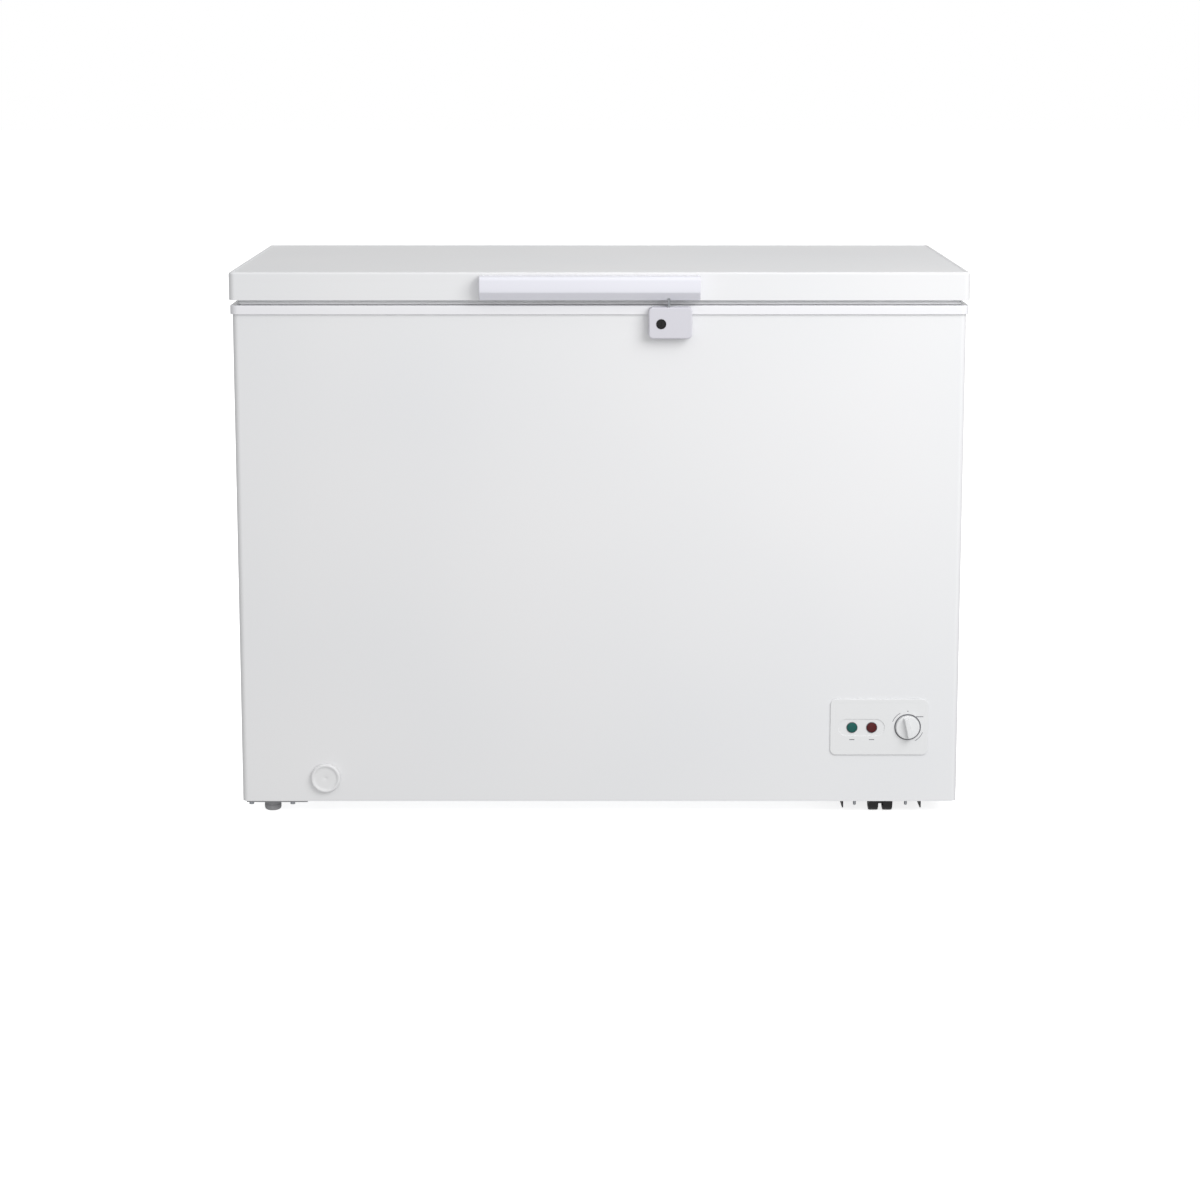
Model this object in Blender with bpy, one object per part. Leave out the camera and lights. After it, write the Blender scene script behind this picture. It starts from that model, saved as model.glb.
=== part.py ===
"""Chest freezer on two casters and two levelling feet, built up from its separate pieces.

Metres, +Z up. The front faces -Y and the right-hand end, with the compressor, is at +X.
The origin is on the floor, under the middle of the whole object's box.
"""

import math

import bmesh
import bpy
from mathutils import Matrix, Vector

# Fits
FIT = 0.0003  # gap between pieces that rest on each other
RUNNING = 0.0001  # radial clearance of a pin in its bore
SLACK = 0.0010  # clearance of a piece that moves past another

# Cabinet
BODY_W = 1.110
BODY_D = 0.536
BODY_CORNER = 0.009
REAR_CORNER = 0.0006
SHEET = 0.0010
HEM = 0.0060
WALL = 0.062
FLOOR_WALL = 0.072
BASE_OVER_WHEELS = 0.0115
BASE_IN = 0.0230
BASE_SKIRT = 0.012

# Lid, top frame and the gap between them, downwards from the top
HEIGHT = 0.845
LID_OVER = 0.0045
LID_H = 0.0423
LID_CORNER = 0.010
LID_EDGE = 0.0035
LID_GAP = 0.0080
FRAME_H = 0.0135
FRAME_PROUD = 0.0035
FRAME_TOP_T = 0.0015
FRAME_LIP = 0.010

# Lid lining and gasket
LINER_T = 0.0015
LINER_RAISED = 0.0020
PLUG_GAP = 0.0115
PLUG_TAPER = 0.010
PLUG_DROP = 0.0145
GASKET_IN = 0.011
GASKET_W = 0.016
GASKET_EDGE = 0.0015

# Tub and the machine compartment under its raised end
TUB_CORNER = 0.022
COMPARTMENT_W = 0.224
COMPARTMENT_H = 0.255
STEP_WALL = 0.060

# Cooling coils in pockets of the foam
CONDENSER_R = 0.0025
CONDENSER_ROWS = 6
CONDENSER_BEND = 0.006
EVAPORATOR_R = 0.0040
EVAPORATOR_TURNS = 5
COIL_CLEAR = 0.0008
COIL_MARGIN = 0.030
COIL_OVER_STEP = 0.0405
COIL_UNDER_TOP = 0.0844
TAIL_Y = 0.140

# Handle
HANDLE_LEFT = -0.181
HANDLE_RIGHT = 0.152
HANDLE_LOW = 0.0011
HANDLE_UNDER_TOP = 0.0043
HANDLE_PROUD = 0.022
HANDLE_LIP_H = 0.0125
HANDLE_FOOT = 0.0095
HANDLE_END_R = 0.0040

# Lock
LOCK_LEFT = 0.074
LOCK_RIGHT = 0.140
LOCK_H = 0.048
LOCK_UNDER_TOP = 0.0012
LOCK_PROUD = 0.018
LOCK_CORNER = 0.007
KEY_X = 0.093
KEY_DROP = 0.0267
KEY_R = 0.0073
KEY_PROUD = 0.0010
KEYWAY = (0.0016, 0.0080)
KEYWAY_DEEP = 0.003
CAM_REACH = 0.0150
CAM_W = 0.0060
CAM_T = 0.0026
CAM_BACK = 0.0090
STRIKE_OFF = 0.0105
STRIKE_T = 0.0020
STRIKE_BAR = 0.0040
STRIKE_D = 0.0100
STRIKE_FOOT_W = 0.028
STRIKE_FOOT_H = 0.024

# Control panel, lower right of the front
PANEL_FROM_END = 0.122
PANEL_OVER_BASE = 0.096
PANEL_W = 0.1515
PANEL_H = 0.0887
PANEL_CORNER = 0.009
PANEL_T = 0.0018
PANEL_LAND = 0.008
PILL_OFF = (-0.0275, -0.0010)
PILL_W = 0.072
PILL_H = 0.027
PILL_DEEP = 0.0008
LAMP_OFF = (-0.0420, -0.0115)
LAMP_R = 0.0078
LAMP_STEM_R = 0.0050
LAMP_LONG = 0.022
KNOB_OFF = 0.044
KNOB_R = 0.0182
KNOB_SKIRT = 0.0045
KNOB_RIDGE_W = 0.0090
KNOB_RIDGE_H = 0.0125
KNOB_LEAN = 12.0
SHAFT_R = 0.0030
BOX_DEEP = 0.052
BOX_T = 0.0015

# Drain
DRAIN_FROM_END = 0.130
DRAIN_FROM_FRONT = 0.118
DRAIN_OVER_BASE = 0.0145
DRAIN_PIPE_R = 0.0080
DRAIN_BORE = 0.0060
DRAIN_BEND = 0.020
CAP_R = 0.0230
CAP_FACE_R = 0.0185
CAP_T = 0.0060
PLUG_R = 0.0150
PLUG_T = 0.0050

# Underside
LEFT_RAIL_IN = (0.006, 0.101)
RAIL_T = 0.0020
RIGHT_RAIL_IN = (0.177, 0.054)
RIGHT_RAIL_END = 0.0015
RIGHT_RAIL_CLEAR = 0.0090
FOOT_IN = 0.0435
FOOT_FROM_FACE = 0.032
FOOT_R = 0.0130
FOOT_H = 0.0160
STEM_R = 0.0040
CASTER_IN = 0.116
CASTER_FROM_FACE = 0.037
CASTER_PLATE = (0.092, 0.038)
WHEEL_R = 0.0165
WHEEL_W = 0.0150
FORK_T = 0.0060
WHEEL_CLEAR = 0.0005
TRAIL = 0.0080
AXLE_R = 0.0030

# Hinges
HINGE_X = 0.330
HINGE_W = 0.070
HINGE_BACK = 0.0265
PIVOT_OUT = 0.0140
PIVOT_OVER = 0.0040
KNUCKLE_R = 0.0060
PIN_R = 0.0030
EAR_W = 0.012
ARM_W = 0.020
LEAF_T = 0.0020
LEAF_W = 0.034
SPRING_R = 0.0050
SPRING_WIRE = 0.0009
SPRING_TURNS = 5

# Basket
BASKET_W = 0.240
BASKET_H = 0.200
BASKET_END = 0.023
BASKET_UNDER_LID = 0.005
BASKET_T = 0.0030
BASKET_SIDE = 0.008
BASKET_TAPER = 0.012
HOOK_W = 0.120
HOOK_OVER = 0.016

# Compressor and its pipes
PUMP_R = 0.070
PUMP_H = 0.165
PUMP_STRETCH = 1.22
PUMP_Y = 0.040
BRACKET_T = 0.0030
BRACKET_W = 0.150
BRACKET_D = 0.190
MOUNT_R = 0.011
MOUNT_H = 0.016
PIPE_R = 0.0040
PIPE_BEND = 0.010
PIPE_LEVEL = 0.020
SUCTION_LEVEL = 0.025
DRIER_R = 0.010
DRIER_L = 0.120
DRIER_FROM_BACK = 0.030
DRIER_OVER_BRACKET = 0.090
RELAY_SIZE = (0.052, 0.034, 0.060)
RELAY_OVER_BRACKET = 0.035

# Bush for the mains lead, in the rear cover
GLAND_R = 0.0060
GLAND_BORE = 0.0035
GLAND_FROM_END = 0.045
GLAND_OVER_BASE = 0.032

# Vents
SLOT_W = 0.085
SLOT_H = 0.006
SLOT_PITCH = 0.014
SLOT_ROWS = 9
SLOT_GAP = 0.008
SLOTS_UP = 0.020
WINDOW_MARGIN = 0.020
COVER_LAP = 0.008
WINDOW_IN = (0.016, 0.012)

# How far a cutter reaches past what it cuts
OVERRUN = 0.010

# Steps
CORNER_STEPS = 4
ROUND_STEPS = 20
TUBE_STEPS = 6
SHARP = math.radians(35)

# Levels and faces that follow from the sizes above
FRONT = -BODY_D / 2
REAR = BODY_D / 2
SIDE = BODY_W / 2
LID_W = BODY_W + 2 * LID_OVER
LID_D = BODY_D + 2 * LID_OVER
BASE_TOP = 2 * WHEEL_R + BASE_OVER_WHEELS
BODY_BOTTOM = BASE_TOP - BASE_IN
SKIRT_Z = HEIGHT - LID_H
FRAME_TOP = SKIRT_Z - LID_GAP
FRAME_LOW = FRAME_TOP - FRAME_H
WRAP_TOP = FRAME_TOP - FRAME_TOP_T - FIT
LINER_TOP = FRAME_TOP - FRAME_LIP - FIT
BASE_LOW = BASE_TOP - SHEET
TUB_FLOOR = BASE_TOP + FLOOR_WALL
INNER = SHEET + FIT
COMPARTMENT_X = SIDE - COMPARTMENT_W
COMPARTMENT_TOP = BASE_TOP + COMPARTMENT_H
STEP_X = COMPARTMENT_X - WALL
STEP_FLOOR = COMPARTMENT_TOP + STEP_WALL
LID_FRONT = -LID_D / 2
LINING_Z = SKIRT_Z + LINER_RAISED
PIVOT_Y = REAR + PIVOT_OUT
PIVOT_Z = FRAME_TOP + PIVOT_OVER
KEY_Z = FRAME_TOP - KEY_DROP
FOOT_Y = (FRONT + FOOT_FROM_FACE, REAR - FOOT_FROM_FACE)
HANDLE_H = LID_H - HANDLE_LOW - HANDLE_UNDER_TOP
COIL_LOW = STEP_FLOOR + COIL_OVER_STEP
COIL_TOP = LINER_TOP - COIL_UNDER_TOP
CONDENSER_X = SIDE - SHEET - COIL_CLEAR - CONDENSER_R
EVAPORATOR_X = SIDE - WALL + LINER_T + COIL_CLEAR + EVAPORATOR_R
PANEL_X = SIDE - PANEL_FROM_END
PANEL_Z = BASE_TOP + PANEL_OVER_BASE
PILL_X = PANEL_X + PILL_OFF[0]
PILL_Z = PANEL_Z + PILL_OFF[1]
LAMP_X = tuple(PANEL_X + off for off in LAMP_OFF)
KNOB_X = PANEL_X + KNOB_OFF
KNOB_Z = PANEL_Z
DRAIN_X = -SIDE + DRAIN_FROM_END
DRAIN_Y = FRONT + DRAIN_FROM_FRONT
DRAIN_Z = BASE_TOP + DRAIN_OVER_BASE
LEFT_RAIL_X = tuple(-SIDE + inset for inset in LEFT_RAIL_IN)
RIGHT_RAIL_X = tuple(SIDE - inset for inset in RIGHT_RAIL_IN)
FOOT_X = -SIDE + FOOT_IN
CASTER_X = SIDE - CASTER_IN
BASKET_X = SIDE - WALL - BASKET_END - BASKET_W / 2
GLAND_X = SIDE - GLAND_FROM_END
GLAND_Z = BASE_TOP + GLAND_OVER_BASE
CASE_Y = (LID_D / 2 + HANDLE_PROUD - BODY_D / 2 - HINGE_BACK) / 2


def paint(name, colour, roughness, metallic=0.0):
    """Material with one colour and finish."""
    material = bpy.data.materials.new(name)
    material.use_nodes = True
    shader = material.node_tree.nodes["Principled BSDF"]
    shader.inputs["Base Color"].default_value = (*colour, 1.0)
    shader.inputs["Roughness"].default_value = roughness
    shader.inputs["Metallic"].default_value = metallic
    return material


def at(axis, u, v, along):
    """Point (u, v) of a section that stands at a place along an axis."""
    if axis == "X":
        return Vector((along, u, v))
    if axis == "Y":
        return Vector((u, along, v))
    return Vector((u, v, along))


def arc(centre, radius, start, end, steps=CORNER_STEPS):
    """Points on an arc, by angles in degrees."""
    points = []
    for i in range(steps + 1):
        angle = math.radians(start + (end - start) * i / steps)
        points.append((centre[0] + radius * math.cos(angle), centre[1] + radius * math.sin(angle)))
    return points


def circle(radius, steps=ROUND_STEPS, centre=(0.0, 0.0)):
    """Points on a full circle."""
    return arc(centre, radius, 0.0, 360.0 * (steps - 1) / steps, steps - 1)


def rounded(low, high, radius, steps=CORNER_STEPS, far=None):
    """Outline of a rectangle with round corners, the two far ones of another radius if given."""
    far = radius if far is None else far
    corners = (
        (high[0] - far, high[1] - far, far, 0),
        (low[0] + far, high[1] - far, far, 90),
        (low[0] + radius, low[1] + radius, radius, 180),
        (high[0] - radius, low[1] + radius, radius, 270),
    )
    points = []
    for u, v, size, start in corners:
        points += arc((u, v), size, start, start + 90, steps)
    return points


def body_loop(inset, z, radius=None):
    """Loop round the cabinet, inwards from its faces, nearly square at the back corners."""
    near = max(BODY_CORNER - inset, SHEET) if radius is None else radius
    far = max(REAR_CORNER - inset, FIT) if radius is None else radius
    high = (BODY_W / 2 - inset, BODY_D / 2 - inset)
    low = (-high[0], -high[1])
    return [at("Z", x, y, z) for x, y in rounded(low, high, near, far=far)]


def lid_loop(inset, z, radius=None):
    """Loop round the lid, inwards from its faces."""
    corner = max(LID_CORNER - inset, SHEET) if radius is None else radius
    high = (LID_W / 2 - inset, LID_D / 2 - inset)
    low = (-high[0], -high[1])
    return [at("Z", x, y, z) for x, y in rounded(low, high, corner)]


def skin(loops, closed=False):
    """Body through loops of points. Closed joins the last loop to the first, as in a ring."""
    bm = bmesh.new()
    rows = [[bm.verts.new(point) for point in loop] for loop in loops]
    following = rows[1:] + (rows[:1] if closed else [])
    for low, high in zip(rows, following):
        for i in range(len(low)):
            j = (i + 1) % len(low)
            bm.faces.new((low[i], low[j], high[j], high[i]))
    if not closed:
        bm.faces.new(rows[0])
        bm.faces.new(rows[-1])
    bmesh.ops.recalc_face_normals(bm, faces=bm.faces)
    return bm


def prism(outline, axis, start, end):
    """Outline drawn out along an axis."""
    return skin([[at(axis, u, v, place) for u, v in outline] for place in (start, end)])


def block(low, high):
    """Rectangular block between two corners."""
    outline = [(low[0], low[1]), (high[0], low[1]), (high[0], high[1]), (low[0], high[1])]
    return prism(outline, "Z", low[2], high[2])


def turned(profile, axis, centre, bored=False, steps=ROUND_STEPS):
    """Turned body. The profile holds radius and place along the axis, from the centre."""
    offset = Vector(centre)
    loops = []
    for radius, place in profile:
        loops.append([at(axis, u, v, place) + offset for u, v in circle(radius, steps)])
    return skin(loops, closed=bored)


def pipe(path, radius, bore=0.0, steps=TUBE_STEPS):
    """Round rod along a path, or a tube that is open right through if it has a bore."""
    points = [Vector(point) for point in path]
    outer = []
    inner = []
    side = None
    for i, point in enumerate(points):
        ahead = (points[min(i + 1, len(points) - 1)] - points[max(i - 1, 0)]).normalized()
        side = ahead.orthogonal() if side is None else side
        side = (side - ahead * side.dot(ahead)).normalized()
        up = ahead.cross(side)
        outer.append([point + side * u + up * v for u, v in circle(radius, steps)])
        if bore:
            inner.append([point + side * u + up * v for u, v in circle(bore, steps)])
    return skin(outer + inner[::-1], closed=bool(bore))


def bent(points, radius, steps=3):
    """Path with its corners rounded."""
    path = [Vector(points[0])]
    for before, corner, after in zip(points, points[1:], points[2:]):
        corner = Vector(corner)
        start = corner + (Vector(before) - corner).normalized() * radius
        end = corner + (Vector(after) - corner).normalized() * radius
        for i in range(steps + 1):
            t = i / steps
            path.append(start * (1 - t) ** 2 + corner * (2 * t * (1 - t)) + end * t**2)
    path.append(Vector(points[-1]))
    return path


def drill(radius, axis, centre, reach=OVERRUN, steps=ROUND_STEPS):
    """Cutter for a round hole, as far to one side of its centre as to the other."""
    return turned(((radius, -reach), (radius, reach)), axis, centre, steps=steps)


def together(bodies):
    """Several separate bodies as one mesh, for a cutter that makes many holes."""
    bm = bmesh.new()
    for body in bodies:
        mesh = bpy.data.meshes.new("hole")
        body.to_mesh(mesh)
        body.free()
        bm.from_mesh(mesh)
        bpy.data.meshes.remove(mesh)
    return bm


def place(name, bm, origin):
    """Object with its origin at a given point, under the cabinet's empty."""
    mesh = bpy.data.meshes.new(name)
    bm.transform(Matrix.Translation(-Vector(origin)))
    bm.to_mesh(mesh)
    bm.free()
    item = bpy.data.objects.new(name, mesh)
    item.location = origin
    item.parent = HOME
    bpy.context.collection.objects.link(item)
    return item


def piece(name, bm, material, origin=(0.0, 0.0, 0.0)):
    """One sub-part of the freezer."""
    item = place(name, bm, origin)
    item.data.materials.append(material)
    item.data.shade_smooth()
    item.data.set_sharp_from_angle(angle=SHARP)
    return item


def shape_with(item, bm, operation):
    """Boolean with a hidden tool, left live on the piece."""
    tool = place(f"{item.name}_tool_{len(item.modifiers)}", bm, (0.0, 0.0, 0.0))
    tool.hide_render = True
    tool.display_type = "WIRE"
    modifier = item.modifiers.new(operation.lower(), "BOOLEAN")
    modifier.operation = operation
    modifier.solver = "EXACT"
    modifier.object = tool


def cut(item, bm):
    """Takes a shape away from a piece."""
    shape_with(item, bm, "DIFFERENCE")


def join(item, bm):
    """Adds a shape to a piece."""
    shape_with(item, bm, "UNION")


def slots(axis, centre, count, through):
    """Row of horizontal vent slots, one above another, cut through a sheet."""
    bodies = []
    for i in range(count):
        z = centre[2] + (i - (count - 1) / 2) * SLOT_PITCH
        if axis == "X":
            middle = (centre[1], z)
        else:
            middle = (centre[0], z)
        low = (middle[0] - SLOT_W / 2, middle[1] - SLOT_H / 2)
        high = (middle[0] + SLOT_W / 2, middle[1] + SLOT_H / 2)
        bodies.append(prism(rounded(low, high, SLOT_H * 0.45, 2), axis, *through))
    return together(bodies)


# ---- cabinet -------------------------------------------------------------------------------


def three_sides(inset):
    """Path round the left end, the front and the right end of the cabinet."""
    half = SIDE - inset
    front = FRONT + inset
    radius = BODY_CORNER - inset
    left = arc((-half + radius, front + radius), radius, 180, 270)
    right = arc((half - radius, front + radius), radius, 270, 360)
    return [(-half, REAR)] + left + right + [(half, REAR)]


def cabinet_wrap():
    """Painted sheet folded round three sides, with a hem at its lower edge."""
    profile = (
        (0.0, BODY_BOTTOM),
        (0.0, WRAP_TOP),
        (SHEET, WRAP_TOP),
        (SHEET, BODY_BOTTOM + SHEET),
        (HEM, BODY_BOTTOM + SHEET),
        (HEM, BODY_BOTTOM),
    )
    paths = [three_sides(inset) for inset, _ in profile]
    loops = []
    for points in zip(*paths):
        loops.append([at("Z", x, y, z) for (x, y), (_, z) in zip(points, profile)])
    item = piece("cabinet_wrap", skin(loops), WHITE_STEEL)
    low = (PANEL_X - PANEL_W / 2 + PANEL_LAND, PANEL_Z - PANEL_H / 2 + PANEL_LAND)
    high = (PANEL_X + PANEL_W / 2 - PANEL_LAND, PANEL_Z + PANEL_H / 2 - PANEL_LAND)
    cut(item, block((low[0], FRONT - OVERRUN, low[1]), (high[0], FRONT + OVERRUN, high[1])))
    cut(item, drill(DRAIN_PIPE_R + SLACK, "Y", (DRAIN_X, FRONT, DRAIN_Z)))
    low, high = vent_window(FIT)
    cut(item, block((SIDE - OVERRUN, low[0], low[1]), (SIDE + OVERRUN, high[0], high[1])))


def vent_window(grow):
    """Window for the side grille, in Y and Z."""
    middle = (PUMP_Y, (BASE_TOP + COMPARTMENT_TOP) / 2)
    half = (SLOT_W + WINDOW_MARGIN, SLOT_PITCH * 5)
    low = (middle[0] - half[0] - grow, middle[1] - half[1] - grow)
    high = (middle[0] + half[0] + grow, middle[1] + half[1] + grow)
    return low, high


def side_grille():
    """Slotted plate let into the right-hand end, level with the sheet."""
    low, high = vent_window(0.0)
    sheet = (SIDE - SHEET, SIDE)
    item = piece("side_grille", prism(rounded(low, high, 0.002, 1), "X", *sheet), GREY_PLASTIC)
    through = (sheet[0] - OVERRUN, sheet[1] + OVERRUN)
    z = (low[1] + high[1]) / 2
    for side in (-1, 1):
        y = PUMP_Y + side * (SLOT_W + SLOT_GAP) / 2
        cut(item, slots("X", (0.0, y, z), SLOT_ROWS, through))


def rear_panel():
    """Flat painted sheet closing the back, with the machine compartment's opening."""
    half = SIDE - SHEET - FIT
    low = (-half, REAR - SHEET, BODY_BOTTOM + SHEET + FIT)
    high = (half, REAR, WRAP_TOP)
    item = piece("rear_panel", block(low, high), WHITE_STEEL)
    x, z = rear_window(0.0)
    cut(item, block((x[0], REAR - OVERRUN, z[0]), (x[1], REAR + OVERRUN, z[1])))


def rear_window(grow):
    """Opening of the machine compartment in the back, in X and Z."""
    x = (COMPARTMENT_X + WINDOW_IN[0] - grow, SIDE - WINDOW_IN[0] + grow)
    z = (BASE_TOP + WINDOW_IN[1] - grow, COMPARTMENT_TOP - WINDOW_IN[1] + grow)
    return x, z


def rear_cover():
    """Slotted sheet over the machine compartment, outside the rear panel."""
    x, z = rear_window(COVER_LAP)
    faces = (REAR + FIT, REAR + FIT + SHEET)
    outline = rounded((x[0], z[0]), (x[1], z[1]), 0.004, 2)
    item = piece("rear_cover", prism(outline, "Y", *faces), GREY_STEEL)
    through = (faces[0] - OVERRUN, faces[1] + OVERRUN)
    middle = ((x[0] + x[1]) / 2, 0.0, (z[0] + z[1]) / 2 + SLOTS_UP)
    for side in (-1, 1):
        x = middle[0] + side * (SLOT_W + SLOT_GAP) / 2
        cut(item, slots("Y", (x, 0.0, middle[2]), SLOT_ROWS, through))
    cut(item, drill(GLAND_R + SLACK / 2, "Y", (GLAND_X, REAR, GLAND_Z)))


def cable_gland():
    """Bush in the rear cover that a mains lead would come out of."""
    outer = REAR + FIT + SHEET + FIT
    profile = (
        (GLAND_BORE, -0.008),
        (GLAND_R, -0.008),
        (GLAND_R, outer - REAR),
        (GLAND_R + 0.003, outer - REAR),
        (GLAND_R + 0.003, outer - REAR + 0.003),
        (GLAND_R - 0.0005, outer - REAR + 0.010),
        (GLAND_BORE, outer - REAR + 0.010),
    )
    bm = turned(profile, "Y", (GLAND_X, REAR, GLAND_Z), bored=True, steps=16)
    piece("cable_gland", bm, BLACK_PLASTIC)


def base_plate():
    """Steel floor pan above the underside recess, its skirt turned down inside the wrap."""
    loops = [
        body_loop(INNER, BASE_TOP),
        body_loop(INNER, BASE_TOP - BASE_SKIRT),
        body_loop(INNER + SHEET, BASE_TOP - BASE_SKIRT),
        body_loop(INNER + SHEET, BASE_LOW),
    ]
    piece("base_plate", skin(loops), ZINC)


def step_plate():
    """Folded sheet that parts the machine compartment from the foam."""
    left = COMPARTMENT_X
    low = BASE_TOP + FIT
    top = COMPARTMENT_TOP
    outline = (
        (left, low),
        (left + SHEET, low),
        (left + SHEET, top - SHEET),
        (SIDE - INNER, top - SHEET),
        (SIDE - INNER, top),
        (left, top),
    )
    item = piece("step_plate", prism(outline, "Y", FRONT + BODY_CORNER, REAR - INNER), ZINC)
    for x, radius in ((CONDENSER_X, CONDENSER_R), (EVAPORATOR_X, EVAPORATOR_R)):
        cut(item, drill(radius + SLACK, "Z", (x, TAIL_Y, top), steps=10))


def tub_form(grow, top, lidded):
    """The tub's hollow, deep on the left and raised over the compartment, grown outwards."""
    half_w = SIDE - WALL + grow
    half_d = BODY_D / 2 - WALL + grow
    outline = (
        (-half_w, top),
        (-half_w, TUB_FLOOR - grow),
        (STEP_X + grow, TUB_FLOOR - grow),
        (STEP_X + grow, STEP_FLOOR - grow),
        (half_w, STEP_FLOOR - grow),
        (half_w, top),
    )
    bm = prism(outline, "Y", -half_d, half_d)
    edges = [e for e in bm.edges if min(v.co.z for v in e.verts) < top - FIT]
    radius = TUB_CORNER + grow
    bmesh.ops.bevel(bm, geom=edges, offset=radius, segments=CORNER_STEPS, profile=0.5, affect="EDGES")
    if not lidded:
        lid = [f for f in bm.faces if min(v.co.z for v in f.verts) > top - FIT]
        bmesh.ops.delete(bm, geom=lid, context="FACES_ONLY")
    return bm


def inner_liner():
    """Formed tub lining, one sheet with a raised step at the right."""
    item = piece("inner_liner", tub_form(0.0, LINER_TOP, lidded=False), TUB_PLASTIC)
    wall = item.modifiers.new("wall", "SOLIDIFY")
    wall.thickness = LINER_T
    wall.offset = 1.0
    wall.use_even_offset = True
    cut(item, drill(DRAIN_BORE, "Z", (DRAIN_X, DRAIN_Y, TUB_FLOOR)))


def drain_path():
    """From the front of the cabinet back and up to the tub floor."""
    mouth = (DRAIN_X, FRONT + FIT / 2, DRAIN_Z)
    corner = (DRAIN_X, DRAIN_Y, DRAIN_Z)
    floor = (DRAIN_X, DRAIN_Y, TUB_FLOOR - LINER_T - FIT)
    return bent((mouth, corner, floor), DRAIN_BEND, 5)


def cabinet_foam():
    """Foam fill between the outer sheets and the tub, hollowed for what runs inside it."""
    loops = [body_loop(INNER, BASE_TOP + FIT), body_loop(INNER, WRAP_TOP)]
    item = piece("cabinet_foam", skin(loops), FOAM)
    cut(item, tub_form(LINER_T + FIT, HEIGHT, lidded=True))
    x = COMPARTMENT_X - FIT
    low = (x, FRONT - OVERRUN, BASE_LOW)
    cut(item, block(low, (SIDE + OVERRUN, REAR + OVERRUN, COMPARTMENT_TOP + FIT)))
    pocket_top = COIL_TOP + COIL_MARGIN
    inner = 2 * CONDENSER_R + 3 * COIL_CLEAR + SHEET
    cut(item, ring_between(-OVERRUN, inner, COMPARTMENT_TOP, pocket_top))
    outer = WALL - LINER_T - 2 * EVAPORATOR_R - 3 * COIL_CLEAR
    cut(item, ring_between(outer, WALL + OVERRUN, COIL_LOW - COIL_MARGIN, pocket_top))
    tail = EVAPORATOR_R + SLACK
    ends = (COMPARTMENT_TOP - COIL_LOW - OVERRUN, OVERRUN)
    bm = turned(((tail, ends[0]), (tail, ends[1])), "Z", (EVAPORATOR_X, TAIL_Y, COIL_LOW), steps=10)
    cut(item, bm)
    path = drain_path()
    path[0].y -= OVERRUN
    path[-1].z += OVERRUN
    cut(item, pipe(path, DRAIN_PIPE_R + FIT, steps=12))


def ring_between(outer, inner, low, high):
    """Square-section ring round the cabinet, by its insets and levels."""
    corners = ((outer, low), (outer, high), (inner, high), (inner, low))
    return skin([body_loop(inset, z) for inset, z in corners], closed=True)


def drain_pipe():
    """Bent tube from the tub floor to the front of the cabinet."""
    piece("drain_pipe", pipe(drain_path(), DRAIN_PIPE_R, DRAIN_BORE, 12), GREY_PLASTIC)


def top_frame():
    """Plastic surround that caps the wrap and lips over the lining."""
    edge = 0.0008
    profile = (
        (-FRAME_PROUD, FRAME_LOW),
        (-FRAME_PROUD, FRAME_TOP - edge),
        (-FRAME_PROUD + edge, FRAME_TOP),
        (WALL - edge, FRAME_TOP),
        (WALL, FRAME_TOP - edge),
        (WALL, FRAME_TOP - FRAME_LIP),
        (WALL - LINER_T, FRAME_TOP - FRAME_LIP),
        (WALL - LINER_T, FRAME_TOP - FRAME_TOP_T),
        (-FIT, FRAME_TOP - FRAME_TOP_T),
        (-FIT, FRAME_LOW),
    )
    loops = []
    for inset, z in profile:
        radius = TUB_CORNER + WALL - inset if inset > WALL / 2 else None
        loops.append(body_loop(inset, z, radius))
    piece("top_frame", skin(loops, closed=True), WHITE_PLASTIC)


def condenser_coil():
    """Pipe laid to and fro on the inside of the wrap, with a tail to the compartment."""
    inset = SHEET + COIL_CLEAR + CONDENSER_R
    half = SIDE - inset
    front = FRONT + inset
    radius = CONDENSER_BEND
    left = arc((-half + radius, front + radius), radius, 180, 270, 2)
    right = arc((half - radius, front + radius), radius, 270, 360, 2)
    row = [(-half, TAIL_Y)] + left + right + [(half, TAIL_Y)]
    path = [(half, TAIL_Y, COMPARTMENT_TOP + FIT)]
    pitch = (COIL_TOP - COIL_LOW) / (CONDENSER_ROWS - 1)
    for i in range(CONDENSER_ROWS):
        points = row if i % 2 else row[::-1]
        path += [(x, y, COIL_LOW + i * pitch) for x, y in points]
    piece("condenser_coil", pipe(bent(path, CONDENSER_R, 1), CONDENSER_R), COPPER)


def evaporator_coil():
    """Pipe wound round the outside of the tub lining, with a tail to the compartment."""
    inset = WALL - LINER_T - COIL_CLEAR - EVAPORATOR_R
    radius = TUB_CORNER
    half = (SIDE - inset, BODY_D / 2 - inset)
    turn = rounded((-half[0], -half[1]), half, radius, 2)
    path = [(half[0], TAIL_Y, COMPARTMENT_TOP + FIT), (half[0], TAIL_Y, COIL_LOW - radius)]
    pitch = (COIL_TOP - COIL_LOW) / EVAPORATOR_TURNS
    for lap in range(EVAPORATOR_TURNS):
        for i, (x, y) in enumerate(turn):
            path.append((x, y, COIL_LOW + (lap + i / len(turn)) * pitch))
    piece("evaporator_coil", pipe(path, EVAPORATOR_R), COPPER)


# ---- machine compartment -------------------------------------------------------------------


def pump_place():
    """Middle of the compressor, at the level of its bracket's top."""
    x = (COMPARTMENT_X + SIDE) / 2
    return (x, PUMP_Y, BASE_TOP + MOUNT_H + FIT + BRACKET_T)


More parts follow.
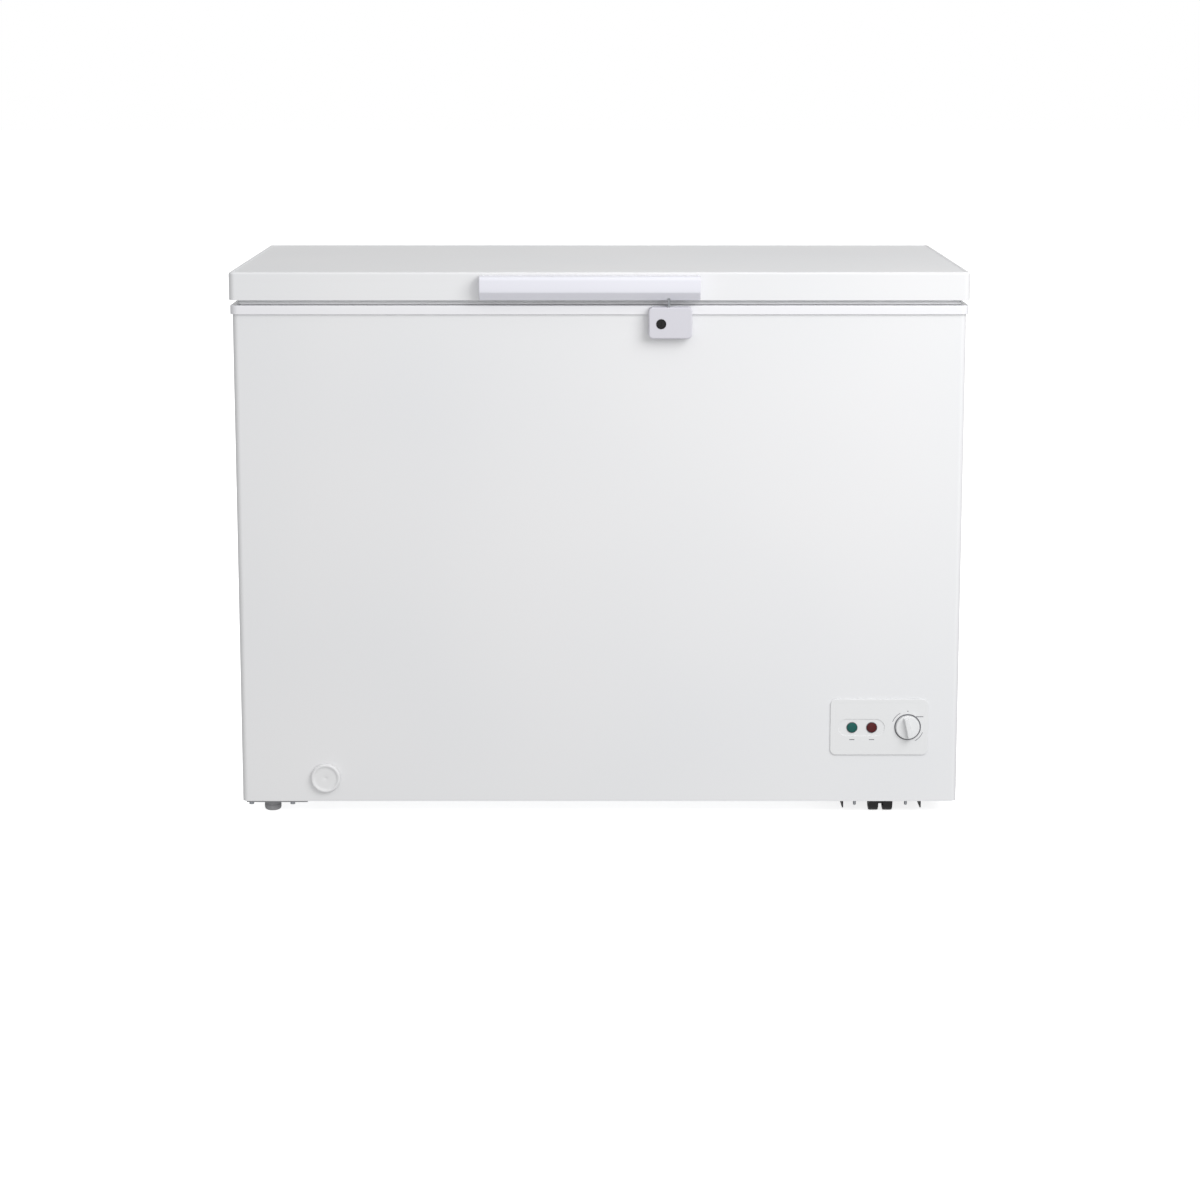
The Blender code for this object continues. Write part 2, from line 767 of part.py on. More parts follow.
def compressor():
    """Sealed steel pot in two welded halves, longer than it is wide."""
    x, y, z = pump_place()
    seam = PUMP_H * 0.52
    profile = (
        (PUMP_R * 0.45, FIT),
        (PUMP_R * 0.80, PUMP_H * 0.05),
        (PUMP_R * 0.95, PUMP_H * 0.18),
        (PUMP_R * 0.97, seam - 0.004),
        (PUMP_R, seam - 0.004),
        (PUMP_R, seam + 0.004),
        (PUMP_R * 0.95, seam + 0.004),
        (PUMP_R * 0.92, PUMP_H * 0.80),
        (PUMP_R * 0.70, PUMP_H * 0.95),
        (PUMP_R * 0.30, PUMP_H),
    )
    bm = turned(profile, "Z", (0.0, 0.0, 0.0), steps=24)
    stretch = Matrix.Diagonal((1.0, PUMP_STRETCH, 1.0, 1.0))
    bm.transform(Matrix.Translation((x, y, z)) @ stretch)
    piece("compressor", bm, BLACK_STEEL)


def mount_places():
    """Middles of the four rubber mounts."""
    x, y, _ = pump_place()
    half = (BRACKET_W / 2 - MOUNT_R - 0.003, BRACKET_D / 2 - MOUNT_R - 0.003)
    return [(x + i * half[0], y + j * half[1]) for j in (-1, 1) for i in (-1, 1)]


def compressor_bracket():
    """Steel plate under the compressor, with holes over its four mounts."""
    x, y, z = pump_place()
    low = (x - BRACKET_W / 2, y - BRACKET_D / 2)
    high = (x + BRACKET_W / 2, y + BRACKET_D / 2)
    item = piece("compressor_bracket", prism(rounded(low, high, MOUNT_R), "Z", z - BRACKET_T, z), ZINC)
    neck = MOUNT_R * 0.45 + SLACK / 2
    cut(item, together([drill(neck, "Z", (u, v, z), steps=12) for u, v in mount_places()]))


def compressor_mounts():
    """Four rubber feet, waisted where the bracket sits on them."""
    neck = MOUNT_R * 0.45
    profile = (
        (MOUNT_R * 0.9, FIT),
        (MOUNT_R, MOUNT_H * 0.3),
        (MOUNT_R * 0.8, MOUNT_H * 0.55),
        (MOUNT_R, MOUNT_H),
        (neck, MOUNT_H),
        (neck, MOUNT_H + FIT + BRACKET_T + 0.002),
    )
    for number, (x, y) in enumerate(mount_places(), 1):
        bm = turned(profile, "Z", (x, y, BASE_TOP), steps=12)
        piece(f"compressor_mount_{number}", bm, RUBBER)


def starter_relay():
    """Plastic box clipped to the front end of the compressor."""
    x, y, z = pump_place()
    near = y - PUMP_R * PUMP_STRETCH - SLACK
    low = (x - RELAY_SIZE[0] / 2, near - RELAY_SIZE[1], z + RELAY_OVER_BRACKET)
    high = (x + RELAY_SIZE[0] / 2, near, z + RELAY_OVER_BRACKET + RELAY_SIZE[2])
    bm = block(low, high)
    bmesh.ops.bevel(bm, geom=bm.edges[:], offset=0.003, segments=1, affect="EDGES")
    piece("starter_relay", bm, BLACK_PLASTIC)


def suction_line():
    """Pipe from the evaporator's tail down to the compressor."""
    x, y, z = pump_place()
    top = COMPARTMENT_TOP - FIT
    shoulder = x + PUMP_R + SLACK + PIPE_R
    level = z + PUMP_H * 0.70
    drop = COMPARTMENT_TOP - SUCTION_LEVEL
    points = (
        (EVAPORATOR_X, TAIL_Y, top),
        (EVAPORATOR_X, TAIL_Y, drop),
        (shoulder, y, drop),
        (shoulder, y, level),
    )
    piece("suction_line", pipe(bent(points, PIPE_BEND), PIPE_R, steps=8), COPPER)


def discharge_line():
    """Pipe from the compressor out to the condenser's tail by way of the filter drier."""
    x, y, z = drier_place()
    level = COMPARTMENT_TOP - PIPE_LEVEL
    points = (
        (CONDENSER_X, TAIL_Y, COMPARTMENT_TOP - FIT),
        (CONDENSER_X, TAIL_Y, level),
        (CONDENSER_X, y, level),
        (x, y, level),
        (x, y, z + DRIER_L / 2 + FIT),
    )
    piece("discharge_line", pipe(bent(points, PIPE_BEND), CONDENSER_R, steps=8), COPPER)


def drier_place():
    """Middle of the filter drier."""
    x, _, z = pump_place()
    return (x, REAR - DRIER_FROM_BACK, z + DRIER_OVER_BRACKET)


def filter_drier():
    """Copper cartridge at the end of the pipe, tapered at both ends."""
    x, y, z = drier_place()
    profile = (
        (CONDENSER_R, -DRIER_L * 0.50),
        (CONDENSER_R, -DRIER_L * 0.42),
        (DRIER_R, -DRIER_L * 0.29),
        (DRIER_R, DRIER_L * 0.29),
        (CONDENSER_R, DRIER_L * 0.42),
        (CONDENSER_R, DRIER_L * 0.50),
    )
    piece("filter_drier", turned(profile, "Z", (x, y, z), steps=12), COPPER)


# ---- controls ------------------------------------------------------------------------------


def panel_box(inset, y):
    """Loop round the control panel, inwards from its edge."""
    half = (PANEL_W / 2 - inset, PANEL_H / 2 - inset)
    low = (PANEL_X - half[0], PANEL_Z - half[1])
    high = (PANEL_X + half[0], PANEL_Z + half[1])
    radius = max(PANEL_CORNER - inset, SHEET)
    return [at("Y", x, z, y) for x, z in rounded(low, high, radius)]


def control_panel():
    """Escutcheon over the opening in the wrap, with a sunk pill and holes for the controls."""
    back = FRONT - FIT
    face = back - PANEL_T
    edge = 0.0006
    loops = [panel_box(0.0, back), panel_box(0.0, face + edge), panel_box(edge, face)]
    item = piece("control_panel", skin(loops), WHITE_PLASTIC)
    low = (PILL_X - PILL_W / 2, PILL_Z - PILL_H / 2)
    high = (PILL_X + PILL_W / 2, PILL_Z + PILL_H / 2)
    pill = rounded(low, high, PILL_H * 0.49, 6)
    cut(item, prism(pill, "Y", face - OVERRUN, face + PILL_DEEP))
    holes = []
    for x in LAMP_X:
        holes.append(drill(LAMP_STEM_R + FIT, "Y", (x, back, PILL_Z), steps=12))
    holes.append(drill(SHAFT_R + SLACK, "Y", (KNOB_X, back, KNOB_Z), steps=12))
    cut(item, together(holes))


def control_box():
    """Plastic box behind the panel that keeps the wiring off the compartment."""
    front = FRONT + INNER
    back = front + BOX_DEEP
    inset = PANEL_LAND / 2
    wall = inset + BOX_T
    loops = [
        panel_box(inset, back),
        panel_box(inset, front),
        panel_box(wall, front),
        panel_box(wall, back - BOX_T),
    ]
    piece("control_box", skin(loops), GREY_PLASTIC)


def lamps():
    """Two indicator lamps, domed lenses in front of plain stems."""
    face = FRONT - FIT - PANEL_T + PILL_DEEP - FIT
    finishes = (("power_lamp", GREEN_LENS), ("alarm_lamp", RED_LENS))
    for (name, material), x in zip(finishes, LAMP_X):
        profile = (
            (LAMP_STEM_R, LAMP_LONG),
            (LAMP_STEM_R, 0.0),
            (LAMP_R, 0.0),
            (LAMP_R, -0.0010),
            (LAMP_R * 0.75, -0.0020),
            (LAMP_R * 0.35, -0.0024),
        )
        piece(name, turned(profile, "Y", (x, face, PILL_Z), steps=16), material)


def thermostat():
    """Thermostat body with the shaft that the knob sits on."""
    face = FRONT + INNER
    low = (KNOB_X - 0.019, face, KNOB_Z - 0.015)
    high = (KNOB_X + 0.019, face + 0.026, KNOB_Z + 0.015)
    item = piece("thermostat", block(low, high), ZINC)
    tip = FRONT - FIT - PANEL_T - KNOB_SKIRT
    shaft = ((SHAFT_R, tip - face), (SHAFT_R, 0.004))
    join(item, turned(shaft, "Y", (KNOB_X, face, KNOB_Z), steps=12))


def thermostat_knob():
    """Round knob with a grip ridge across it."""
    back = FRONT - FIT - PANEL_T - FIT
    profile = (
        (KNOB_R * 0.94, 0.0),
        (KNOB_R, -0.0010),
        (KNOB_R, -KNOB_SKIRT + 0.0010),
        (KNOB_R * 0.94, -KNOB_SKIRT),
    )
    centre = (KNOB_X, back, KNOB_Z)
    item = piece("thermostat_knob", turned(profile, "Y", centre, steps=24), WHITE_PLASTIC, centre)
    half = KNOB_R * 0.93
    low = (-KNOB_RIDGE_W / 2, -half)
    high = (KNOB_RIDGE_W / 2, half)
    ridge = []
    for inset, y in ((0.0, -KNOB_SKIRT * 0.5), (0.0, -KNOB_SKIRT), (0.0015, -KNOB_RIDGE_H)):
        outline = rounded((low[0] + inset, low[1] + inset), (high[0] - inset, high[1] - inset), 0.0015, 2)
        ridge.append([at("Y", x, z, y) for x, z in outline])
    bm = skin(ridge)
    lean = Matrix.Rotation(math.radians(-KNOB_LEAN), 4, "Y")
    bm.transform(Matrix.Translation(centre) @ lean)
    join(item, bm)
    bore = SHAFT_R + RUNNING
    depth = KNOB_SKIRT + FIT * 2
    cut(item, turned(((bore, -depth), (bore, OVERRUN)), "Y", centre, steps=12))


# ---- drain ---------------------------------------------------------------------------------


def drain_cap():
    """Round stopper over the drain's mouth, a raised ring round a dished face."""
    back = FRONT - FIT
    spigot = DRAIN_BORE - FIT
    profile = (
        (spigot * 0.9, 0.014),
        (spigot, 0.012),
        (spigot, 0.0),
        (CAP_R, 0.0),
        (CAP_R, -CAP_T * 0.3),
        (CAP_R * 0.93, -CAP_T * 0.85),
        (CAP_R * 0.87, -CAP_T),
        (CAP_FACE_R, -CAP_T * 0.85),
        (CAP_FACE_R * 0.93, -CAP_T * 0.65),
        (CAP_FACE_R * 0.25, -CAP_T * 0.60),
        (CAP_FACE_R * 0.15, -CAP_T * 0.45),
    )
    centre = (DRAIN_X, back, DRAIN_Z)
    piece("drain_cap", turned(profile, "Y", centre, steps=24), WHITE_PLASTIC, centre)


def drain_plug():
    """Rubber plug in the floor of the tub, with a knob to lift it by."""
    spigot = DRAIN_BORE - FIT
    profile = (
        (spigot * 0.8, -0.012),
        (spigot, -0.009),
        (spigot, 0.0),
        (PLUG_R, 0.0),
        (PLUG_R, PLUG_T * 0.6),
        (PLUG_R * 0.85, PLUG_T),
        (PLUG_R * 0.30, PLUG_T),
        (PLUG_R * 0.30, PLUG_T * 2.0),
        (PLUG_R * 0.45, PLUG_T * 2.4),
        (PLUG_R * 0.30, PLUG_T * 3.0),
    )
    centre = (DRAIN_X, DRAIN_Y, TUB_FLOOR + FIT)
    piece("drain_plug", turned(profile, "Z", centre, steps=16), RUBBER, centre)


# ---- underside -----------------------------------------------------------------------------


def left_rail():
    """Channel across the left end that holds the two levelling feet."""
    top = BODY_BOTTOM - FIT
    low = top - RAIL_T
    x = LEFT_RAIL_X
    web = block((x[0], FRONT + RAIL_T, low), (x[1], REAR - RAIL_T, top))
    item = piece("left_rail", web, GREY_STEEL)
    end = (FRONT + HEM + SLACK, REAR - HEM - SLACK)
    lean = RAIL_T / 4
    inner = max(x[0], -SIDE + HEM) + SLACK
    for left in (inner, x[1] - RAIL_T - lean):
        flange = block((left, end[0], top - lean), (left + RAIL_T, end[1], BASE_LOW - FIT))
        join(item, flange)
    cut(item, together([drill(STEM_R + FIT, "Z", (FOOT_X, y, top), steps=12) for y in FOOT_Y]))


def right_rail():
    """Black channel, open downwards, that the casters are screwed into."""
    top = BASE_LOW - FIT
    x = RIGHT_RAIL_X
    outline = (
        (x[0], RIGHT_RAIL_CLEAR),
        (x[0] + RAIL_T, RIGHT_RAIL_CLEAR),
        (x[0] + RAIL_T, top - RAIL_T),
        (x[1] - RAIL_T, top - RAIL_T),
        (x[1] - RAIL_T, RIGHT_RAIL_CLEAR),
        (x[1], RIGHT_RAIL_CLEAR),
        (x[1], top),
        (x[0], top),
    )
    ends = (FRONT + HEM + RIGHT_RAIL_END, REAR - HEM - RIGHT_RAIL_END)
    piece("right_rail", prism(outline, "Y", *ends), BLACK_STEEL)


def levelling_feet():
    """Plastic pads on threaded stems, one at each end of the left rail."""
    stem_top = BASE_LOW - 0.002
    profile = (
        (FOOT_R * 0.72, 0.0),
        (FOOT_R * 0.92, FOOT_H * 0.10),
        (FOOT_R, FOOT_H * 0.30),
        (FOOT_R, FOOT_H),
        (STEM_R, FOOT_H),
        (STEM_R, stem_top),
    )
    for name, y in zip(("foot_front", "foot_rear"), FOOT_Y):
        centre = (FOOT_X, y, 0.0)
        piece(name, turned(profile, "Z", centre, steps=20), GREY_PLASTIC, centre)


def caster(name, y):
    """Twin-wheel caster: plate, swivelling fork and a pair of wheels on one axle in front of it."""
    plate_top = BASE_LOW - FIT - RAIL_T - FIT
    plate_low = plate_top - RAIL_T
    stem = STEM_R + SLACK / 2
    low = (CASTER_X - CASTER_PLATE[0] / 2, y - CASTER_PLATE[1] / 2)
    high = (CASTER_X + CASTER_PLATE[0] / 2, y + CASTER_PLATE[1] / 2)
    item = piece(f"caster_plate_{name}", prism(rounded(low, high, 0.006), "Z", plate_low, plate_top), ZINC)
    cut(item, drill(stem + RUNNING, "Z", (CASTER_X, y, plate_top)))

    collar_top = plate_low - FIT
    collar_low = 2 * WHEEL_R + SLACK
    pivot = (CASTER_X, y, 0.0)
    profile = ((0.012, collar_low), (0.012, collar_top), (stem, collar_top), (stem, plate_top - FIT))
    item = piece(f"caster_fork_{name}", turned(profile, "Z", pivot, steps=16), BLACK_PLASTIC, pivot)
    axle_y = y - TRAIL
    middle = (collar_low + collar_top) / 2
    cheek = arc((axle_y, WHEEL_R), AXLE_R * 2.2, -180, 0, 8)
    cheek += [(y + TRAIL, middle), (axle_y - FORK_T / 2, middle)]
    join(item, prism(cheek, "X", CASTER_X - FORK_T / 2, CASTER_X + FORK_T / 2))
    cut(item, drill(AXLE_R + RUNNING, "X", (CASTER_X, axle_y, WHEEL_R), steps=16))

    inner = FORK_T / 2 + WHEEL_CLEAR
    outer = inner + WHEEL_W
    tread = WHEEL_R * 0.93
    edge = WHEEL_R - tread
    half = [(AXLE_R, inner), (tread, inner), (WHEEL_R, inner + edge)]
    half += [(WHEEL_R, outer - edge), (tread, outer)]
    profile = [(radius, -place_x) for radius, place_x in half[::-1]] + half
    axle = (CASTER_X, axle_y, WHEEL_R)
    piece(f"caster_wheels_{name}", turned(profile, "X", axle, steps=28), BLACK_PLASTIC, axle)


# ---- lid -----------------------------------------------------------------------------------


def lid_skin():
    """Painted steel pan, open below, with softly rounded top edges."""
    under = HEIGHT - SHEET
    edge = LID_EDGE
    loops = [
        lid_loop(SHEET + edge, under),
        lid_loop(SHEET, under - edge),
        lid_loop(SHEET, SKIRT_Z),
        lid_loop(0.0, SKIRT_Z),
    ]
    for inset, z in arc((edge, HEIGHT - edge), edge, 180, 90, 3):
        loops.append(lid_loop(inset, z))
    piece("lid_skin", skin(loops), WHITE_STEEL, (0.0, PIVOT_Y, PIVOT_Z))


def lining_step():
    """Insets of the lining's drop into the tub, at its top and at its foot."""
    top = WALL + LID_OVER + PLUG_GAP
    return top, top + PLUG_TAPER


def lid_liner():
    """Formed sheet under the lid that drops a little way into the tub's mouth."""
    top, foot = lining_step()
    low = FRAME_TOP - PLUG_DROP
    loops = [
        lid_loop(foot + LINER_T, low + LINER_T, TUB_CORNER),
        lid_loop(top + LINER_T, LINING_Z + LINER_T, TUB_CORNER),
        lid_loop(INNER, LINING_Z + LINER_T),
        lid_loop(INNER, LINING_Z),
        lid_loop(top, LINING_Z, TUB_CORNER),
        lid_loop(foot, low, TUB_CORNER),
    ]
    piece("lid_liner", skin(loops), TUB_PLASTIC, (0.0, PIVOT_Y, PIVOT_Z))


def lid_foam():
    """Foam that fills the lid between its pan and its lining."""
    top, foot = lining_step()
    over = LINER_T + FIT
    low = FRAME_TOP - PLUG_DROP
    edge = LID_EDGE
    loops = [
        lid_loop(foot + over, low + over, TUB_CORNER),
        lid_loop(top + over, LINING_Z + over, TUB_CORNER),
        lid_loop(INNER, LINING_Z + over),
        lid_loop(INNER, HEIGHT - SHEET - FIT - edge),
        lid_loop(INNER + edge, HEIGHT - SHEET - FIT),
    ]
    piece("lid_foam", skin(loops), FOAM, (0.0, PIVOT_Y, PIVOT_Z))


def lid_gasket():
    """Soft seal round the lid that closes on the top frame."""
    low = FRAME_TOP + FIT
    high = LINING_Z - FIT
    edge = GASKET_EDGE
    inner = GASKET_IN + GASKET_W
    profile = (
        (GASKET_IN + edge, low),
        (GASKET_IN, low + edge),
        (GASKET_IN, high - edge),
        (GASKET_IN + edge, high),
        (inner - edge, high),
        (inner, high - edge),
        (inner, low + edge),
        (inner - edge, low),
    )
    loops = [lid_loop(inset, z, LID_CORNER) for inset, z in profile]
    piece("lid_gasket", skin(loops, closed=True), GASKET_GREY, (0.0, PIVOT_Y, PIVOT_Z))


def lid_handle():
    """Moulded grip along the front of the lid, undercut for the fingers."""
    back = LID_FRONT - FIT
    low = SKIRT_Z + HANDLE_LOW
    high = low + HANDLE_H
    nose = LID_FRONT - HANDLE_PROUD
    lip = low + HANDLE_LIP_H
    outline = [
        (back, low),
        (LID_FRONT - HANDLE_FOOT, low),
        (nose + 0.0015, lip - 0.0012),
        (nose + 0.0006, lip),
        (nose, lip + 0.006),
        (nose + 0.0006, high - 0.008),
        (nose + 0.0030, high - 0.0025),
        (nose + 0.0070, high),
        (back, high),
    ]
    bm = prism(outline, "X", HANDLE_LEFT, HANDLE_RIGHT)
    ends = (HANDLE_LEFT, HANDLE_RIGHT)
    edges = []
    for e in bm.edges:
        flat = [min(abs(v.co.x - x) for x in ends) < FIT for v in e.verts]
        same = abs(e.verts[0].co.x - e.verts[1].co.x) < FIT
        forward = max(v.co.y for v in e.verts) < back - FIT
        if all(flat) and same and forward:
            edges.append(e)
    bmesh.ops.bevel(bm, geom=edges, offset=HANDLE_END_R * 0.4, segments=2, profile=0.5, affect="EDGES")
    item = piece("lid_handle", bm, WHITE_PLASTIC, (0.0, PIVOT_Y, PIVOT_Z))
    x, foot, tongue = strike_places()
    wide = STRIKE_FOOT_W / 2 + FIT
    clear = (LID_FRONT + OVERRUN, foot[1] - FIT)
    pocket = block((x - wide, clear[1], low + 0.0015), (x + wide, clear[0], strike_top() + FIT))
    cut(item, pocket)
    wide = STRIKE_T / 2 + SLACK
    slot = block((x - wide, tongue[1] - SLACK, low - OVERRUN), (x + wide, clear[0], strike_top() + FIT))
    cut(item, slot)


# ---- lock ----------------------------------------------------------------------------------


def strike_places():
    """Middle of the strike's tongue in X, then the Y limits of its foot and of its tongue."""
    x = KEY_X + STRIKE_OFF + STRIKE_T / 2
    back = LID_FRONT - FIT
    foot = (back, back - STRIKE_T)
    tongue = (back - STRIKE_T / 2, back - STRIKE_D - SLACK)
    return x, foot, tongue


def strike_top():
    """Upper edge of the strike's foot."""
    return SKIRT_Z + HANDLE_LOW + 0.0035 + STRIKE_FOOT_H


def lock_strike():
    """Tongue under the lid's handle that drops into the lock, with a window for the cam."""
    x, foot, tongue = strike_places()
    top = strike_top()
    wide = STRIKE_FOOT_W / 2
    low = top - STRIKE_FOOT_H
    bm = block((x - wide, foot[1], low), (x + wide, foot[0], top))
    item = piece("lock_strike", bm, ZINC, (0.0, PIVOT_Y, PIVOT_Z))
    window_low = KEY_Z - CAM_W / 2 - SLACK / 2
    tip = window_low - STRIKE_BAR
    half = STRIKE_T / 2
    join(item, block((x - half, tongue[1], tip), (x + half, tongue[0], top - 0.002)))
    reach = CAM_REACH + CAM_W / 4
    y = cam_layer()
    window = block(
        (x - OVERRUN, y[0] - SLACK / 2, window_low),
        (x + OVERRUN, y[1] + SLACK / 2, KEY_Z + reach * 0.78),
    )
    cut(item, window)


def cam_layer():
    """Y limits of the lock's cam, front and back."""
    back = FRONT - CAM_BACK
    return back - CAM_T, back


def lock_body():
    """Lock case on the front, notched over the top frame, with room for its cam and tongue."""
    top = FRAME_TOP - LOCK_UNDER_TOP
    low = top - LOCK_H
    back = FRONT - FIT
    face = FRONT - LOCK_PROUD
    edge = 0.0025
    loops = []
    for inset, y in ((0.0, back), (0.0, face + edge), (edge * 0.35, face + edge * 0.35), (edge, face)):
        outline = rounded(
            (LOCK_LEFT + inset, low + inset),
            (LOCK_RIGHT - inset, top - inset),
            LOCK_CORNER - inset,
        )
        loops.append([at("Y", x, z, y) for x, z in outline])
    item = piece("lock_body", skin(loops), GREY_PLASTIC)
    notch = FRONT - FRAME_PROUD - FIT
    low_notch = (LOCK_LEFT - OVERRUN, notch, FRAME_LOW - FIT)
    cut(item, block(low_notch, (LOCK_RIGHT + OVERRUN, FRONT + OVERRUN, top + OVERRUN)))
    y = cam_layer()
    bore = KEY_R + FIT
    key = (KEY_X, y[0], KEY_Z)
    cut(item, turned(((bore, -2 * OVERRUN), (bore, 0.0)), "Y", key, steps=16))
    half = CAM_W / 2 + SLACK / 2
    reach = CAM_REACH + CAM_W / 4 + SLACK
    low_y = y[0] - SLACK / 2
    high_y = y[1] + SLACK / 2
    cut(item, block((KEY_X - half, low_y, KEY_Z - half), (KEY_X + reach, high_y, KEY_Z + reach)))
    x, _, tongue = strike_places()
    side = STRIKE_T / 2 + SLACK
    tip = KEY_Z - CAM_W / 2 - SLACK / 2 - STRIKE_BAR - SLACK
    cut(item, block((x - side, tongue[1] - SLACK, tip), (x + side, FRONT + OVERRUN, top + OVERRUN)))


def lock_cylinder():
    """Black key barrel with its keyway."""
    y = cam_layer()
    face = FRONT - LOCK_PROUD - KEY_PROUD
    back = y[0] - FIT
    centre = (KEY_X, back, KEY_Z)
    profile = ((KEY_R, 0.0), (KEY_R, face - back + 0.0006), (KEY_R - 0.0006, face - back))
    item = piece("lock_cylinder", turned(profile, "Y", centre, steps=16), BLACK_PLASTIC, centre)
    half = (KEYWAY[0] / 2, KEYWAY[1] / 2)
    low = (KEY_X - half[0], face - OVERRUN, KEY_Z - half[1])
    cut(item, block(low, (KEY_X + half[0], face + KEYWAY_DEEP, KEY_Z + half[1])))


def lock_cam():
    """Steel arm on the back of the barrel that turns into the strike's window."""
    y = cam_layer()
    half = CAM_W / 2
    outline = arc((KEY_X, KEY_Z), half, 180, 360, 6)
    outline += arc((KEY_X, KEY_Z + CAM_REACH - half), half, 0, 180, 6)
    centre = (KEY_X, y[0], KEY_Z)
    piece("lock_cam", prism(outline, "Y", *y), ZINC, centre)


# ---- hinges --------------------------------------------------------------------------------


def hinge(side, x):
    """Sprung lid hinge: base on the back, arm on the lid, pin and spring."""
    back = REAR + FIT
    reach = REAR + HINGE_BACK
    frame_clear = FRAME_LOW - 2 * FIT
    low = FRAME_LOW - 0.080
    ear = arc((PIVOT_Y, PIVOT_Z), KNUCKLE_R, 0, 180, 8)
    outline = [
        (back, low),
        (back + LEAF_T, low),
        (back + LEAF_T, frame_clear - 0.045),
        (reach, frame_clear - 0.024),
        (reach, frame_clear),
    ]
    outline += ear
    outline += [(PIVOT_Y - KNUCKLE_R, frame_clear), (back, frame_clear)]
    start = x - HINGE_W / 2
    end = x + HINGE_W / 2
    item = piece(f"hinge_base_{side}", prism(outline, "X", start, end), GREY_STEEL)
    gap = (start + EAR_W, end - EAR_W)
    cut(item, block((gap[0], REAR - OVERRUN, frame_clear - FIT), (gap[1], reach + OVERRUN, HEIGHT)))
    bore = PIN_R + RUNNING
    centre = (x, PIVOT_Y, PIVOT_Z)
    cut(item, drill(bore, "X", centre, HINGE_W, 16))

    pin = ((PIN_R, -HINGE_W / 2), (PIN_R, HINGE_W / 2))
    piece(f"hinge_pin_{side}", turned(pin, "X", centre, steps=16), ZINC, centre)

    leaf = (LID_D / 2 + FIT, LID_D / 2 + FIT + LEAF_T)
    foot = SKIRT_Z + 0.003
    outline = [
        (leaf[0], HEIGHT - LID_EDGE * 2),
        (leaf[0], foot),
        (PIVOT_Y - KNUCKLE_R, PIVOT_Z),
    ]
    outline += arc((PIVOT_Y, PIVOT_Z), KNUCKLE_R, 180, 405, 10)
    outline += [(leaf[1], foot + 0.012), (leaf[1], HEIGHT - LID_EDGE * 2)]
    span = (x - ARM_W / 2, x + ARM_W / 2)
    item = piece(f"hinge_arm_{side}", prism(outline, "X", *span), GREY_STEEL, centre)
    half = LEAF_W / 2
    wide = block((x - half, leaf[0], foot + 0.006), (x + half, leaf[1], HEIGHT - LID_EDGE * 2.5))
    join(item, wide)
    cut(item, drill(bore, "X", centre, HINGE_W, 16))

    first = x + ARM_W / 2 + 2 * SPRING_WIRE
    last = x + HINGE_W / 2 - EAR_W - 2 * SPRING_WIRE
    path = [(first, PIVOT_Y + SPRING_R, frame_clear + SPRING_WIRE)]
    for i in range(SPRING_TURNS * 10 + 1):
        turn = i / 10
        angle = 2 * math.pi * turn
        along = first + (last - first) * turn / SPRING_TURNS
        path.append((along, PIVOT_Y + SPRING_R * math.cos(angle), PIVOT_Z + SPRING_R * math.sin(angle)))
    piece(f"hinge_spring_{side}", pipe(path, SPRING_WIRE, steps=5), SPRING_STEEL, centre)


# ---- basket --------------------------------------------------------------------------------


def basket():
    """Storage basket that hangs across the tub on the top frame."""
    half = (BASKET_W / 2, BODY_D / 2 - WALL - BASKET_SIDE)
    top = FRAME_TOP - PLUG_DROP - BASKET_UNDER_LID
    low = top - BASKET_H
    loops = []
    for inset, z in (
        (BASKET_TAPER, low),
        (0.0, top),
        (BASKET_T, top),
        (BASKET_TAPER + BASKET_T, low + BASKET_T),
    ):
        corner = TUB_CORNER - inset / 2
        outline = rounded(
            (BASKET_X - half[0] + inset, -half[1] + inset),
            (BASKET_X + half[0] - inset, half[1] - inset),
            corner,
            3,
        )
        loops.append([at("Z", x, y, z) for x, y in outline])
    centre = (BASKET_X, 0.0, top)
    item = piece("basket", skin(loops), WHITE_WIRE, centre)
    rest = FRAME_TOP + FIT
    wire = BASKET_T
    for side in (-1, 1):
        outline = [
            (half[1] - wire * 0.8, top - 0.030),
            (half[1] + wire * 0.4, top - 0.030),
            (half[1] + wire * 0.4, rest),
            (half[1] + HOOK_OVER + BASKET_SIDE, rest),
            (half[1] + HOOK_OVER + BASKET_SIDE, rest + wire),
            (half[1] - wire * 0.8, rest + wire),
        ]
        mirrored = [(side * y, z) for y, z in outline]
        join(item, prism(mirrored, "X", BASKET_X - HOOK_W / 2, BASKET_X + HOOK_W / 2))


# ---- assembly ------------------------------------------------------------------------------

for old in list(bpy.data.objects):
    bpy.data.objects.remove(old, do_unlink=True)

HOME = bpy.data.objects.new("freezer", None)
HOME.location = (0.0, CASE_Y, 0.0)
bpy.context.collection.objects.link(HOME)

WHITE_STEEL = paint("white_steel", (0.86, 0.86, 0.87), 0.32)
GREY_STEEL = paint("grey_steel", (0.42, 0.42, 0.43), 0.45)
BLACK_STEEL = paint("black_steel", (0.02, 0.02, 0.02), 0.45)
ZINC = paint("zinc_plate", (0.62, 0.63, 0.65), 0.38, 1.0)
SPRING_STEEL = paint("spring_steel", (0.35, 0.35, 0.36), 0.35, 1.0)
COPPER = paint("copper", (0.72, 0.38, 0.24), 0.35, 1.0)
WHITE_PLASTIC = paint("white_plastic", (0.88, 0.88, 0.89), 0.28)
GREY_PLASTIC = paint("grey_plastic", (0.60, 0.60, 0.63), 0.45)
BLACK_PLASTIC = paint("black_plastic", (0.02, 0.02, 0.02), 0.40)
TUB_PLASTIC = paint("tub_plastic", (0.90, 0.90, 0.91), 0.30)
WHITE_WIRE = paint("white_wire", (0.85, 0.85, 0.86), 0.35)
GASKET_GREY = paint("gasket_grey", (0.62, 0.62, 0.62), 0.60)
RUBBER = paint("rubber", (0.05, 0.05, 0.05), 0.80)
